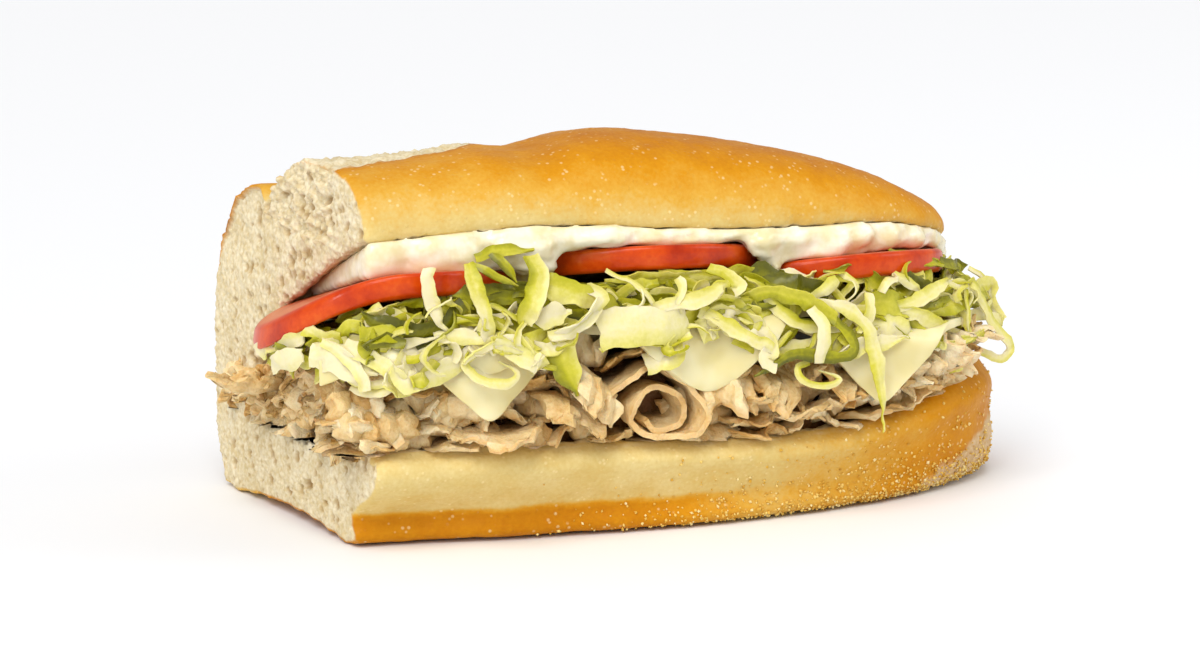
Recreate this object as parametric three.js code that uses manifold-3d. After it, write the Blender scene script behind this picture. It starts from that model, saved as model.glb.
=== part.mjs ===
// Half of a stuffed submarine sandwich: a hinge-cut soft roll with shaved meat, cheese slices,
// shredded lettuce, three tomato slices and mayonnaise.
// Millimetres, +Z up. X runs along the roll, from the knife cut at -X to the heel at +X.
// The roll opens towards -Y and its uncut hinge is at +Y. It rests on the flat of its base at Z = 0.
import * as THREE from "three";
import { mergeVertices } from "three/addons/utils/BufferGeometryUtils.js";
import Module from "manifold-3d";

const wasm = await Module();
wasm.setup();

// Middle of the whole thing's footprint, which becomes the origin
const MIDDLE_X = -2.341;
const MIDDLE_Y = -4.386;

// Roll
const CUT_X = -76; // where the knife cut meets the front of the base
const CUT_Y = -27;
const CUT_SLANT_DEG = 8; // the cut isn't quite square to the loaf
const LOAF_START_X = -104;
const TAPER_START_X = 0; // from here the loaf narrows to its heel
const HEEL_TIP_X = 94.5;
const FLAP_TIP_X = 81; // the upper half ends short of the lower one
const HALF_WIDTH = 45;
const WIDEST_Z = 29; // height at which the back is widest
const PEAK_Y = -17; // the crown runs along this line
const SHOULDER_Y = 17; // from here the back falls to the hinge
const CREASE_Z = 7.5; // the line where the loaf spread over the edge of its baking tray
const WALL_BACK_Y = 22; // inner face of the hinge wall

// Fillings
const WELD = 1e-3; // points closer than this become one
const GAP = 0.35; // clear space between neighbours that touch
const SLOPE = 0.176; // the layers lean up towards the open front
const FRONT_Y = -44;
const MEAT_TOP_Z = 42; // at the front
const CHEESE_THICK = 2;
const CHEESE_STEP = 2.6; // a slice that lies over another is this much higher
const LETTUCE_TOP_Z = 59.4; // at the front
const TOMATO_RADIUS = 29;
const TOMATO_THICK = 5.6;
const MAYO_THICK = 5.6;

// Seeded random numbers from 0 to 1.
function seeded(seed) {
  let a = seed;
  return () => {
    a = (a + 0x6d2b79f5) | 0;
    let t = Math.imul(a ^ (a >>> 15), 1 | a);
    t = (t + Math.imul(t ^ (t >>> 7), 61 | t)) ^ t;
    return ((t ^ (t >>> 14)) >>> 0) / 4294967296;
  };
}

const lerp = THREE.MathUtils.lerp;
const clamp = THREE.MathUtils.clamp;
const smoothstep = THREE.MathUtils.smoothstep;
const radians = THREE.MathUtils.degToRad;

// A smooth function through a few [x, value] knots, level beyond the two ends.
function through(knots) {
  const slope = (i) => {
    const a = knots[Math.max(i - 1, 0)];
    const b = knots[Math.min(i + 1, knots.length - 1)];
    return (b[1] - a[1]) / (b[0] - a[0]);
  };
  return (x) => {
    if (x <= knots[0][0]) return knots[0][1];
    if (x >= knots[knots.length - 1][0]) return knots[knots.length - 1][1];
    const i = knots.findIndex((k) => k[0] > x) - 1;
    const [x0, v0] = knots[i];
    const [x1, v1] = knots[i + 1];
    const h = x1 - x0;
    const t = (x - x0) / h;
    const m0 = i === 0 ? 0 : slope(i) * h;
    const m1 = slope(i + 1) * h;
    return (
      v0 * (2 * t ** 3 - 3 * t ** 2 + 1) +
      m0 * (t ** 3 - 2 * t ** 2 + t) +
      v1 * (3 * t ** 2 - 2 * t ** 3) +
      m1 * (t ** 3 - t ** 2)
    );
  };
}

// Heights and widths of the roll along its length
const groundFrontY = through([[-76, -27], [-41, -32], [-5, -35], [20, -35.5]]);
const lipOutY = through([[-76, -44], [-40, -45.4], [0, -46]]);
const browOutY = through([[-75, -37.8], [-40, -39], [0, -40]]);
const lipZ = through([
  [-76, 23.4], [-43, 23.2], [-10, 21.8], [20, 20.4], [44, 21.2], [58, 23.5], [70, 26.5], [84, 29],
]);
const browZ = through([
  [-75, 71.2], [-44, 72.4], [-29, 72.4], [-10, 70.8], [5, 69.6], [30, 68.6],
  [50, 67.6], [62, 65.6], [72, 62.6], [78, 60], [81, 57.5],
]);
const crownZ = through([
  [-76, 85], [-62, 85], [-48, 86], [-40, 86.7], [-31, 85.8], [-22, 87.9], [-14, 89.1], [-4, 88.7],
  [12, 86.6], [25, 84.3], [38, 81.4], [51, 77.6], [64, 72.4], [74, 67], [82, 60],
]);
const hingeZ = through([[-76, 76.5], [-40, 77.5], [0, 77], [30, 72], [60, 62], [82, 52]]);
const baseZ = (x) => 0.9 * smoothstep(x, 66, 94); // the heel lifts a little
const splitAt = (x) => 1 - smoothstep(x, -52, -22); // the crust split open along the top near the cut
const bedZ = (x) => lipZ(x) - 3.2; // crumb floor under the meat
const pinchAt = (x) => 1 - smoothstep(x, -84, -62); // the slit is tighter at the cut

// How much of the full width is left at x, for a level of the loaf whose tip is at tip.
function taper(x, tip, power) {
  const u = clamp((x - TAPER_START_X) / (tip - TAPER_START_X), 0, 1);
  return (1 - u ** power) ** (1 / power);
}

// The underside of the flap falls from its front edge back to the hinge.
const flapFrontY = (x) => -38 * taper(x, FLAP_TIP_X, 2.4);
const ceilingZ = (x, y) => browZ(x) - 0.9 - (0.235 + 0.27 * pinchAt(x)) * clamp(y - flapFrontY(x), 0, 60);

// Turns a geometry into a solid for booleans, with its faces pointing out.
function solidOf(geometry, weld = 1e-4) {
  const bare = new THREE.BufferGeometry().setAttribute("position", geometry.getAttribute("position"));
  bare.setIndex(geometry.index);
  const merged = mergeVertices(bare, weld);
  const vertProperties = merged.attributes.position.array;
  const make = (triVerts) => new wasm.Manifold(new wasm.Mesh({ numProp: 3, vertProperties, triVerts }));
  const triVerts = new Uint32Array(merged.index.array);
  const solid = make(triVerts);
  return solid.volume() > 0 ? solid : make(triVerts.reverse());
}

// The largest single body of a solid, as a geometry. Loose scraps and sealed hollows are dropped.
function geometryOf(solid) {
  const largest = solid.decompose().reduce((a, b) => (a.volume() > b.volume() ? a : b));
  const mesh = largest.getMesh();
  const geometry = new THREE.BufferGeometry();
  geometry.setAttribute("position", new THREE.BufferAttribute(new Float32Array(mesh.vertProperties), 3));
  geometry.setIndex(new THREE.BufferAttribute(new Uint32Array(mesh.triVerts), 1));
  return geometry;
}

// The same, welded and sorted again until one body is left, since a weld can close off a hollow.
function finished(solid) {
  let geometry = geometryOf(solid);
  let welded = solidOf(geometry, WELD);
  while (welded.decompose().length > 1) {
    geometry = geometryOf(welded);
    welded = solidOf(geometry, WELD);
  }
  geometry.computeVertexNormals();
  return geometry;
}

// A closed surface over rings of points, all of one count, with its two ends filled.
function loft(rings) {
  const count = rings[0].length;
  const index = [];
  for (let i = 0; i + 1 < rings.length; i++)
    for (let k = 0; k < count; k++) {
      const n = (k + 1) % count;
      const [a, b, c, d] = [i * count + k, i * count + n, (i + 1) * count + n, (i + 1) * count + k];
      index.push(a, b, c, a, c, d);
    }
  const fill = (ring, first, along) => {
    const flat = ring.map((p) => new THREE.Vector2(p.y, p.z));
    const sense = Math.sign(THREE.ShapeUtils.area(flat)) * (along ? 1 : -1);
    for (const [a, b, c] of THREE.ShapeUtils.triangulateShape([...flat], [])) {
      const same = Math.sign(THREE.ShapeUtils.area([flat[a], flat[b], flat[c]])) === sense;
      index.push(first + a, first + (same ? b : c), first + (same ? c : b));
    }
  };
  fill(rings[0], 0, false);
  fill(rings[rings.length - 1], (rings.length - 1) * count, true);
  return new THREE.BufferGeometry().setFromPoints(rings.flat()).setIndex(index);
}

// A closed solid between two grids of points, both faces split into triangles alike.
function shell(nu, nv, upper, lower) {
  const points = [];
  for (const at of [upper, lower])
    for (let i = 0; i <= nu; i++) for (let j = 0; j <= nv; j++) points.push(at(i / nu, j / nv));
  const row = nv + 1;
  const low = (nu + 1) * row;
  const id = (i, j) => i * row + j;
  const index = [];
  for (let i = 0; i < nu; i++)
    for (let j = 0; j < nv; j++) {
      const [a, b, c, d] = [id(i, j), id(i + 1, j), id(i + 1, j + 1), id(i, j + 1)];
      index.push(a, b, c, a, c, d, low + a, low + c, low + b, low + a, low + d, low + c);
    }
  const side = (a, b) => index.push(a, low + a, low + b, a, low + b, b);
  for (let i = 0; i < nu; i++) {
    side(id(i, 0), id(i + 1, 0));
    side(id(i + 1, nv), id(i, nv));
  }
  for (let j = 0; j < nv; j++) {
    side(id(nu, j), id(nu, j + 1));
    side(id(0, j + 1), id(0, j));
  }
  return new THREE.BufferGeometry().setFromPoints(points).setIndex(index);
}

// A thin curved sheet of even thickness. at(u, v) gives its middle surface, and extra grows it all round.
function sheet(nu, nv, at, thick, extra = 0) {
  const h = 0.01;
  const alongU = (u, v) => at(Math.min(u + h, 1), v).sub(at(Math.max(u - h, 0), v)).normalize();
  const alongV = (u, v) => at(u, Math.min(v + h, 1)).sub(at(u, Math.max(v - h, 0))).normalize();
  const outward = (t) => (t === 1) - (t === 0);
  const side = (sign) => (u, v) => {
    const du = alongU(u, v);
    const dv = alongV(u, v);
    const normal = du.clone().cross(dv).normalize();
    return at(u, v)
      .addScaledVector(normal, sign * (thick / 2 + extra))
      .addScaledVector(du, extra * outward(u))
      .addScaledVector(dv, extra * outward(v));
  };
  return shell(nu, nv, side(1), side(-1));
}

// A flat strip along a smooth line, turned about it by roll(t) radians and narrower at its ends.
function strip(points, width, thick, steps, roll = () => 0) {
  const line = new THREE.CatmullRomCurve3(points);
  const up = new THREE.Vector3(0, 0, 1);
  const endShare = 0.45;
  const at = (u, v) => {
    const tangent = line.getTangent(u);
    const across = new THREE.Vector3().crossVectors(up, tangent).normalize();
    across.applyAxisAngle(tangent, roll(u));
    const share = endShare + (1 - endShare) * Math.sin(Math.PI * clamp(u, 0.08, 0.92));
    return line.getPoint(u).addScaledVector(across, (v - 0.5) * width * share);
  };
  return sheet(steps, 1, at, thick);
}

const vector = (x, y, z) => new THREE.Vector3(x, y, z);
const joined = (solids) => solids.reduce((a, b) => a.add(b));

// The space that a neighbour must keep out of: the solid, moved a little each way.
function spaceRound(solid, reach) {
  const moves = [[1, 0, 0], [-1, 0, 0], [0, 1, 0], [0, -1, 0], [0, 0, 1], [0, 0, -1]];
  return joined([solid, ...moves.map((m) => solid.translate(m.map((c) => c * reach)))]);
}

function without(solid, ...others) {
  return others.reduce((left, other) => left.subtract(other), solid);
}

// Roll

// The loaf's outline at x, as if it had never been sliced open.
// Each point says which tip its level runs to.
function loafOutline(x) {
  const low = { tip: HEEL_TIP_X, power: 1.9 };
  const crease = { tip: HEEL_TIP_X, power: 2.5 };
  const side = { tip: HEEL_TIP_X - 2, power: 2.6 };
  const lip = { tip: HEEL_TIP_X - 4.5, power: 2.5 };
  const flap = { tip: FLAP_TIP_X, power: 2.4 };
  const front = lipOutY(x);
  const base = baseZ(x);
  const outline = [
    { y: groundFrontY(x), z: base, ...low },
    { y: groundFrontY(x) - 4.2, z: CREASE_Z + 0.5 * base, ...crease },
    { y: front + 3.2, z: 0.6 * lipZ(x), ...side },
    { y: front, z: 0.82 * lipZ(x), ...side },
    { y: front + 1.6, z: lipZ(x) - 1.2, ...lip },
    { y: front + 4, z: lipZ(x) + 0.4, ...lip },
    { y: front + 2, z: (lipZ(x) + browZ(x)) / 2, ...lip },
    { y: browOutY(x), z: browZ(x) - 1.6, ...flap },
  ];
  const ARC = 7;
  for (let i = 0; i <= ARC; i++) {
    const a = (i / ARC) * (Math.PI / 2);
    outline.push({
      y: PEAK_Y - (PEAK_Y - browOutY(x)) * Math.cos(a) ** 0.75,
      z: browZ(x) + (crownZ(x) - browZ(x)) * Math.sin(a) ** 0.9,
      ...flap,
    });
  }
  const dome = (y) => {
    const share = (y - PEAK_Y) / (HALF_WIDTH - PEAK_Y);
    return WIDEST_Z + (crownZ(x) - WIDEST_Z) * Math.sqrt(1 - share ** 2);
  };
  // The torn strip: how much of the crown's height is left at each place across it
  const valley = hingeZ(x) - 3.5;
  const opened = [
    [-6, 0.97],
    [3, 0.72],
    [9.5, 0.32],
    [13.5, 0],
  ];
  for (const [y, share] of opened)
    outline.push({ y, z: lerp(dome(y), lerp(valley, crownZ(x), share), splitAt(x)), ...flap });
  const BACK = 8;
  for (let i = 0; i <= BACK; i++) {
    const a = (i / BACK) * (Math.PI / 2);
    const y = lerp(SHOULDER_Y, HALF_WIDTH, Math.sin(a) ** 0.9);
    const hinge = WIDEST_Z + (hingeZ(x) - 1 - WIDEST_Z) * Math.cos(a) ** 0.9;
    const level = { tip: lerp(FLAP_TIP_X, HEEL_TIP_X, i / BACK), power: 2.4 };
    outline.push({ y, z: lerp(Math.max(dome(y), hinge - 8), hinge, splitAt(x)), ...level });
  }
  outline.push({ y: HALF_WIDTH - 0.8, z: 13, ...side });
  outline.push({ y: HALF_WIDTH - 4.5, z: 4.5 + 0.5 * base, ...crease });
  outline.push({ y: HALF_WIDTH - 12, z: base, ...low });
  return outline;
}

// Rings of the whole loaf. Past the taper's start each level follows its own arc to its tip.
function loafRings() {
  const BODY_STEPS = 10;
  const HEEL_STEPS = 9;
  const LAST_DEG = 87.5;
  const rings = [];
  const ring = (place) => {
    const probe = loafOutline(TAPER_START_X);
    return probe.map((level, k) => {
      const x = place(level.tip);
      const point = loafOutline(x)[k];
      return vector(x, point.y * taper(x, level.tip, level.power), point.z);
    });
  };
  for (let i = 0; i < BODY_STEPS; i++) {
    const x = lerp(LOAF_START_X, TAPER_START_X, i / BODY_STEPS);
    rings.push(ring(() => x));
  }
  for (let i = 0; i <= HEEL_STEPS; i++) {
    const angle = radians((i / HEEL_STEPS) * LAST_DEG);
    rings.push(ring((tip) => TAPER_START_X + (tip - TAPER_START_X) * Math.sin(angle)));
  }
  return rings;
}

// Inner face of the hinge wall. The slit runs out through the back near the heel.
const wallY = (x) => WALL_BACK_Y + 44 * smoothstep(x, 52, 80);

// The slit that a knife opened from the front, with the fillings' room.
function mouthRings() {
  const rings = [];
  const STEPS = 16;
  for (let i = 0; i <= STEPS; i++) {
    const x = lerp(LOAF_START_X - 6, HEEL_TIP_X + 8, i / STEPS);
    const back = wallY(x);
    rings.push(
      [
        [-70, lipZ(x)],
        [back - 7, lipZ(x)],
        [back - 1, lipZ(x) + 5],
        [back, lipZ(x) + 16],
        [back - 1.5, ceilingZ(x, back) - 8],
        [back - 7, ceilingZ(x, back - 7) - 1],
        [flapFrontY(x), browZ(x) - 0.9],
        [-70, browZ(x) - 0.9],
      ].map(([y, z]) => vector(x, y, z)),
    );
  }
  return rings;
}

// The hollow pressed into the lower crumb, inside the lip.
function bedRings() {
  const rings = [];
  const STEPS = 14;
  const end = HEEL_TIP_X - 9;
  for (let i = 0; i <= STEPS; i++) {
    const x = lerp(LOAF_START_X - 6, end, i / STEPS);
    const front = (lipOutY(x) + 9) * taper(x, HEEL_TIP_X - 5, 2.4);
    const back = Math.min(WALL_BACK_Y - 5, -front);
    rings.push(
      [
        [front - 2.5, lipZ(x) + 1],
        [front, lipZ(x) - 1.4],
        [front + 4, bedZ(x)],
        [back - 4, bedZ(x)],
        [back, lipZ(x) + 1],
      ].map(([y, z]) => vector(x, y, z)),
    );
  }
  return rings;
}

// A block that holds all that lies beyond the knife cut, moved out by reach.
function beyondCut(reach) {
  const size = 200;
  const block = new THREE.BoxGeometry(size, size * 2, size * 2).toNonIndexed();
  block.deleteAttribute("normal");
  block.deleteAttribute("uv");
  const place = new THREE.Group();
  place.position.set(CUT_X, CUT_Y, 0);
  place.rotation.z = radians(CUT_SLANT_DEG);
  const inner = new THREE.Object3D();
  inner.position.set(-size / 2 - reach, 0, 0);
  place.add(inner);
  place.updateMatrixWorld(true);
  return solidOf(mergeVertices(block.applyMatrix4(inner.matrixWorld)));
}

const cutXAt = (y) => CUT_X - Math.tan(radians(CUT_SLANT_DEG)) * (y - CUT_Y);

function rollSolid() {
  const loaf = solidOf(loft(loafRings()));
  return without(loaf, solidOf(loft(mouthRings())), solidOf(loft(bedRings())), beyondCut(0));
}

// Tomato slices: each leans up towards the front, and the one at the cut droops over it.
const flatSlice = { lean: SLOPE, tilt: 0, sag: 0, droop: 0 };
const TOMATOES = [
  { ...flatSlice, name: "tomato_slice_1", x: -62.5, y: -15.5, frontZ: 58.6, lean: 0.26, droop: 0.013 },
  { ...flatSlice, name: "tomato_slice_3", x: 45, y: -15, frontZ: 56, tilt: 0.02, sag: 0.0012 },
  { ...flatSlice, name: "tomato_slice_2", x: -3, y: -15.5, frontZ: 61.1, tilt: -0.03, sag: 0.0012 },
];

// Height of a slice's underside.
function tomatoLowZ(slice, x, y) {
  const past = Math.max(0, -67 - x);
  const leaning = slice.lean * (y - slice.y + TOMATO_RADIUS);
  const fromMiddle = x - slice.x;
  const bend = slice.tilt * fromMiddle - slice.sag * fromMiddle ** 2 - slice.droop * past ** 2;
  return slice.frontZ - leaning + bend;
}

function tomatoSolid(slice, extra = 0) {
  const r = TOMATO_RADIUS + extra;
  const h = TOMATO_THICK + 2 * extra;
  const edge = 1.1;
  const SIDES = 26;
  const profile = [
    [0, 0],
    [r - edge, 0],
    [r - 0.25, 0.55 * edge],
    [r, h / 2],
    [r - 0.25, h - 0.55 * edge],
    [r - edge, h],
    [0, h],
  ].map(([px, py]) => new THREE.Vector2(px, py));
  const disc = new THREE.LatheGeometry(profile, SIDES);
  disc.rotateX(Math.PI / 2);
  const position = disc.attributes.position;
  const point = new THREE.Vector3();
  for (let i = 0; i < position.count; i++) {
    point.fromBufferAttribute(position, i);
    const x = slice.x + point.x;
    const y = slice.y + point.y;
    position.setXYZ(i, x, y, tomatoLowZ(slice, x, y) + point.z - extra);
  }
  disc.deleteAttribute("normal");
  disc.deleteAttribute("uv");
  return solidOf(disc);
}

// Mayonnaise: a thick smear on the underside of the flap, bulging at the front and heel.
const mayoFrontY = (x) => (browOutY(x) - 0.9) * taper(x, FLAP_TIP_X - 0.5, 2.4) + 0.6;
const mayoBackY = (x) => Math.max(mayoFrontY(x) + 16, Math.min(8, wallY(x) - 8));
const mayoLumps = (x) => 1.3 * Math.sin(x * 0.21 + 0.6) + 0.9 * Math.sin(x * 0.47 + 2);

// Height of its underside.
function mayoLowZ(x, y) {
  const v = clamp((y - mayoFrontY(x)) / (mayoBackY(x) - mayoFrontY(x)), 0, 1);
  const swell = v < 0.1 ? 1 : lerp(1.2, 0.5, v);
  const ends = 2.2 * smoothstep(x, 66, 80) + 3.5 * smoothstep(-x, 25, 45);
  return ceilingZ(x, y) - GAP - MAYO_THICK * swell - mayoLumps(x) * (1 - 0.6 * v) - ends;
}

function mayoSolid() {
  const place = (u, v) => {
    const x = lerp(-74, 79, u);
    return [x, lerp(mayoFrontY(x), mayoBackY(x), v)];
  };
  const upper = (u, v) => {
    const [x, y] = place(u, v);
    return vector(x, y, ceilingZ(x, y) - GAP);
  };
  const lower = (u, v) => {
    const [x, y] = place(u, v);
    return vector(x, y + (v === 0 ? 0.8 : 0), mayoLowZ(x, y));
  };
  return solidOf(shell(24, 4, upper, lower));
}

// Cheese

const meatTopZ = (x, y) =>
  MEAT_TOP_Z - 0.1 * (y - FRONT_Y) - 2.5 * smoothstep(x, 20, 60) + 0.5 * Math.sin(x * 0.09);

// The line that a slice follows from its hanging corner up over the meat's edge and back over the top.
function drapeLine(x, hang, level) {
  const bend = 5;
  const bendY = FRONT_Y - 3.2 - level * 0.5;
  const bendZ = meatTopZ(x, FRONT_Y) + level + CHEESE_THICK - bend * 0.6;
  return (q) => {
    const over = q - hang;
    if (over < 0) return vector(x, bendY, bendZ + over);
    const a = Math.min(over / bend, Math.PI / 2);
    const flat = Math.max(0, over - (bend * Math.PI) / 2);
    const y = bendY + bend * (1 - Math.cos(a)) + flat;
    const rise = meatTopZ(x, y) - meatTopZ(x, FRONT_Y);
    return vector(x, y, bendZ + bend * Math.sin(a) + rise);
  };
}

// A square slice laid with one corner over the front edge. extra grows it on every side.
function cornerSlice({ x, side, hang, level }, extra = 0) {
  const STEPS = 7;
  const at = (u, v) => {
    const along = ((u + v) * side) / Math.SQRT2;
    const across = ((u - v) * side) / Math.SQRT2;
    return drapeLine(x + across, hang, level)(along);
  };
  return solidOf(sheet(STEPS, STEPS, at, CHEESE_THICK, extra));
}

// The slice at the knife cut, its left edge drooping over the cut face. extra grows it on every side.
function edgeSlice({ x, width, depth, level }, extra = 0) {
  const at = (u, v) => {
    const px = x + width * (u - 0.5);
    const past = Math.max(0, cutXAt(-20) + 2 - px);
    const hang = 3.5 + 1.5 * Math.sin(px * 0.35);
    const point = drapeLine(px, hang, level)(depth * v);
    point.z -= 0.045 * past * past;
    return point;
  };
  return solidOf(sheet(7, 7, at, CHEESE_THICK, extra));
}

const CHEESES = [
  { name: "cheese_slice_1", x: -64.5, width: 45, depth: 50, level: CHEESE_STEP, make: edgeSlice },
  { name: "cheese_slice_2", x: -49, side: 50, hang: 13.5, level: 0, make: cornerSlice },
  { name: "cheese_slice_3", x: 3.5, side: 50, hang: 12.5, level: CHEESE_STEP, make: cornerSlice },
  { name: "cheese_slice_4", x: 46, side: 43, hang: 17, level: 0, make: cornerSlice },
];

// Meat

const planFront = (x) => (lipOutY(x) + 8.5) * taper(x, HEEL_TIP_X - 3, 2.5);
const planBack = (x) => Math.min(WALL_BACK_Y - 8, 30 * taper(x, HEEL_TIP_X - 3, 2.5));

function meatCore(extra = 0) {
  const endX = 79;
  const plan = (u, v) => {
    const mid = lerp(-78, endX, u);
    const y = lerp(planFront(mid), planBack(mid), v);
    const start = cutXAt(y) + 0.6;
    return [lerp(start, endX, u), y];
  };
  const upper = (u, v) => {
    const [x, y] = plan(u, v);
    return vector(x, y, meatTopZ(x, y) - 0.6 + extra);
  };
  const lower = (u, v) => {
    const [x, y] = plan(u, v);
    const rim = v === 0 || v === 1 || u > 0.96;
    return vector(x, y, rim ? lipZ(x) + GAP : bedZ(x) + GAP);
  };
  return solidOf(shell(14, 3, upper, lower));
}

// A shaved slice folded back on itself, sticking out of the heap.
// out is the way it sticks out, along runs across it, and z is where its lower leaf leaves the heap.
function foldedSlice(start, out, along, size, extra) {
  const { reach, width, lift, thick, wave } = size;
  const spine = [0, 0.55, 0.92, 1, 0.84, 0.45, 0.02];
  const bent = spine.map((share, i) => new THREE.Vector2(share * reach, (i / 6) ** 1.3 * lift));
  const profile = new THREE.SplineCurve(bent);
  const at = (u, v) => {
    const p = profile.getPoint(u);
    const s = v - 0.5;
    const ripple = wave * Math.sin(s * 5 + start.x * 0.7) * (0.4 + 0.6 * Math.sin(Math.PI * u));
    return start
      .clone()
      .addScaledVector(out, p.x * (1 - 0.5 * s * s))
      .addScaledVector(along, s * width)
      .add(vector(0, 0, p.y + ripple));
  };
  return solidOf(sheet(5, 2, at, thick, extra));
}

// The slice rolled up on itself that faces the front.
function rolledSlice(extra) {
  const turns = 1.35;
  const length = 20;
  const at = (u, v) => {
    const angle = -0.6 * Math.PI + u * turns * 2 * Math.PI;
    const radius = lerp(8.2, 4.6, u);
    const y = -47.2 + length * v + 1.2 * Math.sin(angle);
    return vector(-6 + radius * Math.cos(angle), y, 31.2 + 0.92 * radius * Math.sin(angle));
  };
  return solidOf(sheet(16, 1, at, 1.5, extra));
}

function meatSlices(extra = 0) {
  const random = seeded(11);
  const pick = (low, high) => lerp(low, high, random());
  const slices = [rolledSlice(extra)];
  const up = vector(0, 0, 1);
  const add = (start, out, size) => {
    const along = up.clone().cross(out).normalize();
    slices.push(foldedSlice(start, out, along, { thick: 1.3, wave: pick(0.4, 1), ...size }, extra));
  };
  const ROWS = 3;
  for (let row = 0; row < ROWS; row++)
    for (let x = -69 + row * 6; x < 74; x += pick(16, 20)) {
      if (row === 1 && Math.abs(x + 6) < 12) continue;
      const yaw = pick(-0.35, 0.35) + 0.75 * smoothstep(x, 35, 90);
      const out = vector(0, -1, 0).applyAxisAngle(up, yaw);
      const start = vector(x, planFront(x) + 3, lipZ(x) + 1.2 + row * 5.1 + pick(-0.5, 0.5));
      add(start, out, { reach: pick(6.5, 10) + 1.5 * row, width: pick(14, 18), lift: pick(3, 4) });
    }
  const END_SLICES = 10;
  const LONGEST = 7;
  for (let i = 0; i < END_SLICES; i++) {
    const y = lerp(-32, 9, (i % 4) / 3) + pick(-2, 2);
    const out = vector(-1, pick(-0.3, 0.3), 0).normalize();
    const start = vector(cutXAt(y) + 4, y, 24 + 4.8 * Math.floor(i / 4) + pick(-0.5, 0.5));
    const reach = i === LONGEST ? 22 : pick(5, 8);
    add(start, out, { reach, width: pick(9, 12), lift: pick(3, 4) });
  }
  return slices;
}

// Lettuce

function lettuceCore() {
  const plan = (u, v) => {
    const x = lerp(-78, 77, u);
    const front = (lipOutY(x) + 4) * taper(x, HEEL_TIP_X - 3, 2.5);
    return [x, lerp(front, planBack(x), v)];
  };
  const top = (x, y) => {
    const under = TOMATOES.filter((t) => Math.hypot(x - t.x, y - t.y) < TOMATO_RADIUS + 5);
    const lowest = under.map((t) => tomatoLowZ(t, x, y) - GAP);
    return Math.min(LETTUCE_TOP_Z - SLOPE * (y - FRONT_Y), mayoLowZ(x, y) - 1, ...lowest);
  };
  const floor = (x, y) => meatTopZ(x, y) + CHEESE_THICK * 1.5 + CHEESE_STEP + GAP;
  const upper = (u, v) => {
    const [x, y] = plan(u, v);
    return vector(x, y, Math.max(top(x, y), floor(x, y) + 1));
  };
  const lower = (u, v) => {
    const [x, y] = plan(u, v);
    return vector(x, y, floor(x, y));
  };
  return solidOf(shell(14, 3, upper, lower));
}

// Shreds that spill from the front and round the heel, curling as they fall.
function lettuceShreds() {
  const random = seeded(5);
  const pick = (low, high) => lerp(low, high, random());
  const shreds = [];
  for (let x = -73; x < 74; x += pick(3.7, 5.2)) {
    const turn = 0.9 * smoothstep(x, 45, 80) - 0.5 * smoothstep(-x, 60, 80);
    const out = vector(Math.sin(turn), -Math.cos(turn), 0);
    const along = vector(out.y, -out.x, 0).multiplyScalar(random() < 0.5 ? 1 : -1);
    const z = pick(48.5, 57);
    const start = vector(x, planFront(x) + 2, z);
    const drop = pick(1, 9);
    const reach = pick(8, 13.5);
    const swing = pick(0, 5);
    const at = (far, aside, up) => {
      const point = start.clone().addScaledVector(out, far).addScaledVector(along, aside);
      return point.add(vector(0, 0, up));
    };
    const points = [
      at(-4, -1, -1),
      at(reach * 0.55, swing * 0.2, pick(0, 2)),
      at(reach * 0.95, swing * 0.6, -drop * 0.35),
      at(reach, swing, -drop),
      at(reach - pick(0, 3), swing + pick(-3, 3), -drop - pick(1, 4)),
    ];
    const twist = pick(-1.1, 1.1);
    shreds.push(solidOf(strip(points, pick(3, 7), 0.9, 5, (u) => twist * u)));
  }
  return shreds;
}

// The long thread that loops out past the heel, and the one that hangs down over the lip.
function longShreds() {
  const line = (...places) => places.map((place) => vector(...place));
  const heelLoop = line(
    [60, -29, 50], [72, -33.5, 50.5], [78, -33.5, 47.5], [82, -32, 41],
    [88, -30, 34.5], [86, -29.5, 31.5], [80, -30, 33.5],
  );
  const hanging = line([33, -36, 50], [38, -47, 50.5], [44, -51, 42], [45.5, -51.6, 31], [45, -51.8, 21.5]);
  const upright = line(
    [-50, -36, 52], [-52.5, -45.5, 62], [-51.5, -48.5, 59], [-49.5, -49.4, 52], [-48, -50, 45.5],
  );
  return [
    solidOf(strip(heelLoop, 2.6, 1, 12)),
    solidOf(strip(hanging, 4.6, 0.9, 10)),
    solidOf(strip(upright, 5, 0.9, 9)),
  ];
}

// Materials
const finish = (color, roughness) => new THREE.MeshStandardMaterial({ color, roughness, metalness: 0 });
const CRUST = finish(0xe2ab55, 0.55);
const MEAT = finish(0xc9b08a, 0.6);
const CHEESE = finish(0xf2e9bb, 0.4);
const LETTUCE = finish(0xbcc94f, 0.45);
const TOMATO = finish(0xc8361a, 0.25);
const MAYO = finish(0xf8f1dc, 0.3);

const sandwich = new THREE.Group();
sandwich.position.set(-MIDDLE_X, -MIDDLE_Y, 0);

function addNode(name, solid, material) {
  const mesh = new THREE.Mesh(finished(solid), material);
  mesh.name = name;
  sandwich.add(mesh);
}

const roll = rollSolid();
const rollSpace = spaceRound(roll, GAP);
addNode("roll", roll, CRUST);

const tomatoSpaces = [];
for (const slice of TOMATOES) {
  addNode(slice.name, without(tomatoSolid(slice), rollSpace, ...tomatoSpaces), TOMATO);
  tomatoSpaces.push(tomatoSolid(slice, GAP));
}
addNode("mayonnaise", without(mayoSolid(), rollSpace, ...tomatoSpaces), MAYO);

const cheeseSpaces = [];
for (const slice of CHEESES) {
  const solid = slice.make(slice);
  addNode(slice.name, without(solid, rollSpace, ...tomatoSpaces, ...cheeseSpaces), CHEESE);
  cheeseSpaces.push(slice.make(slice, GAP));
}

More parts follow.
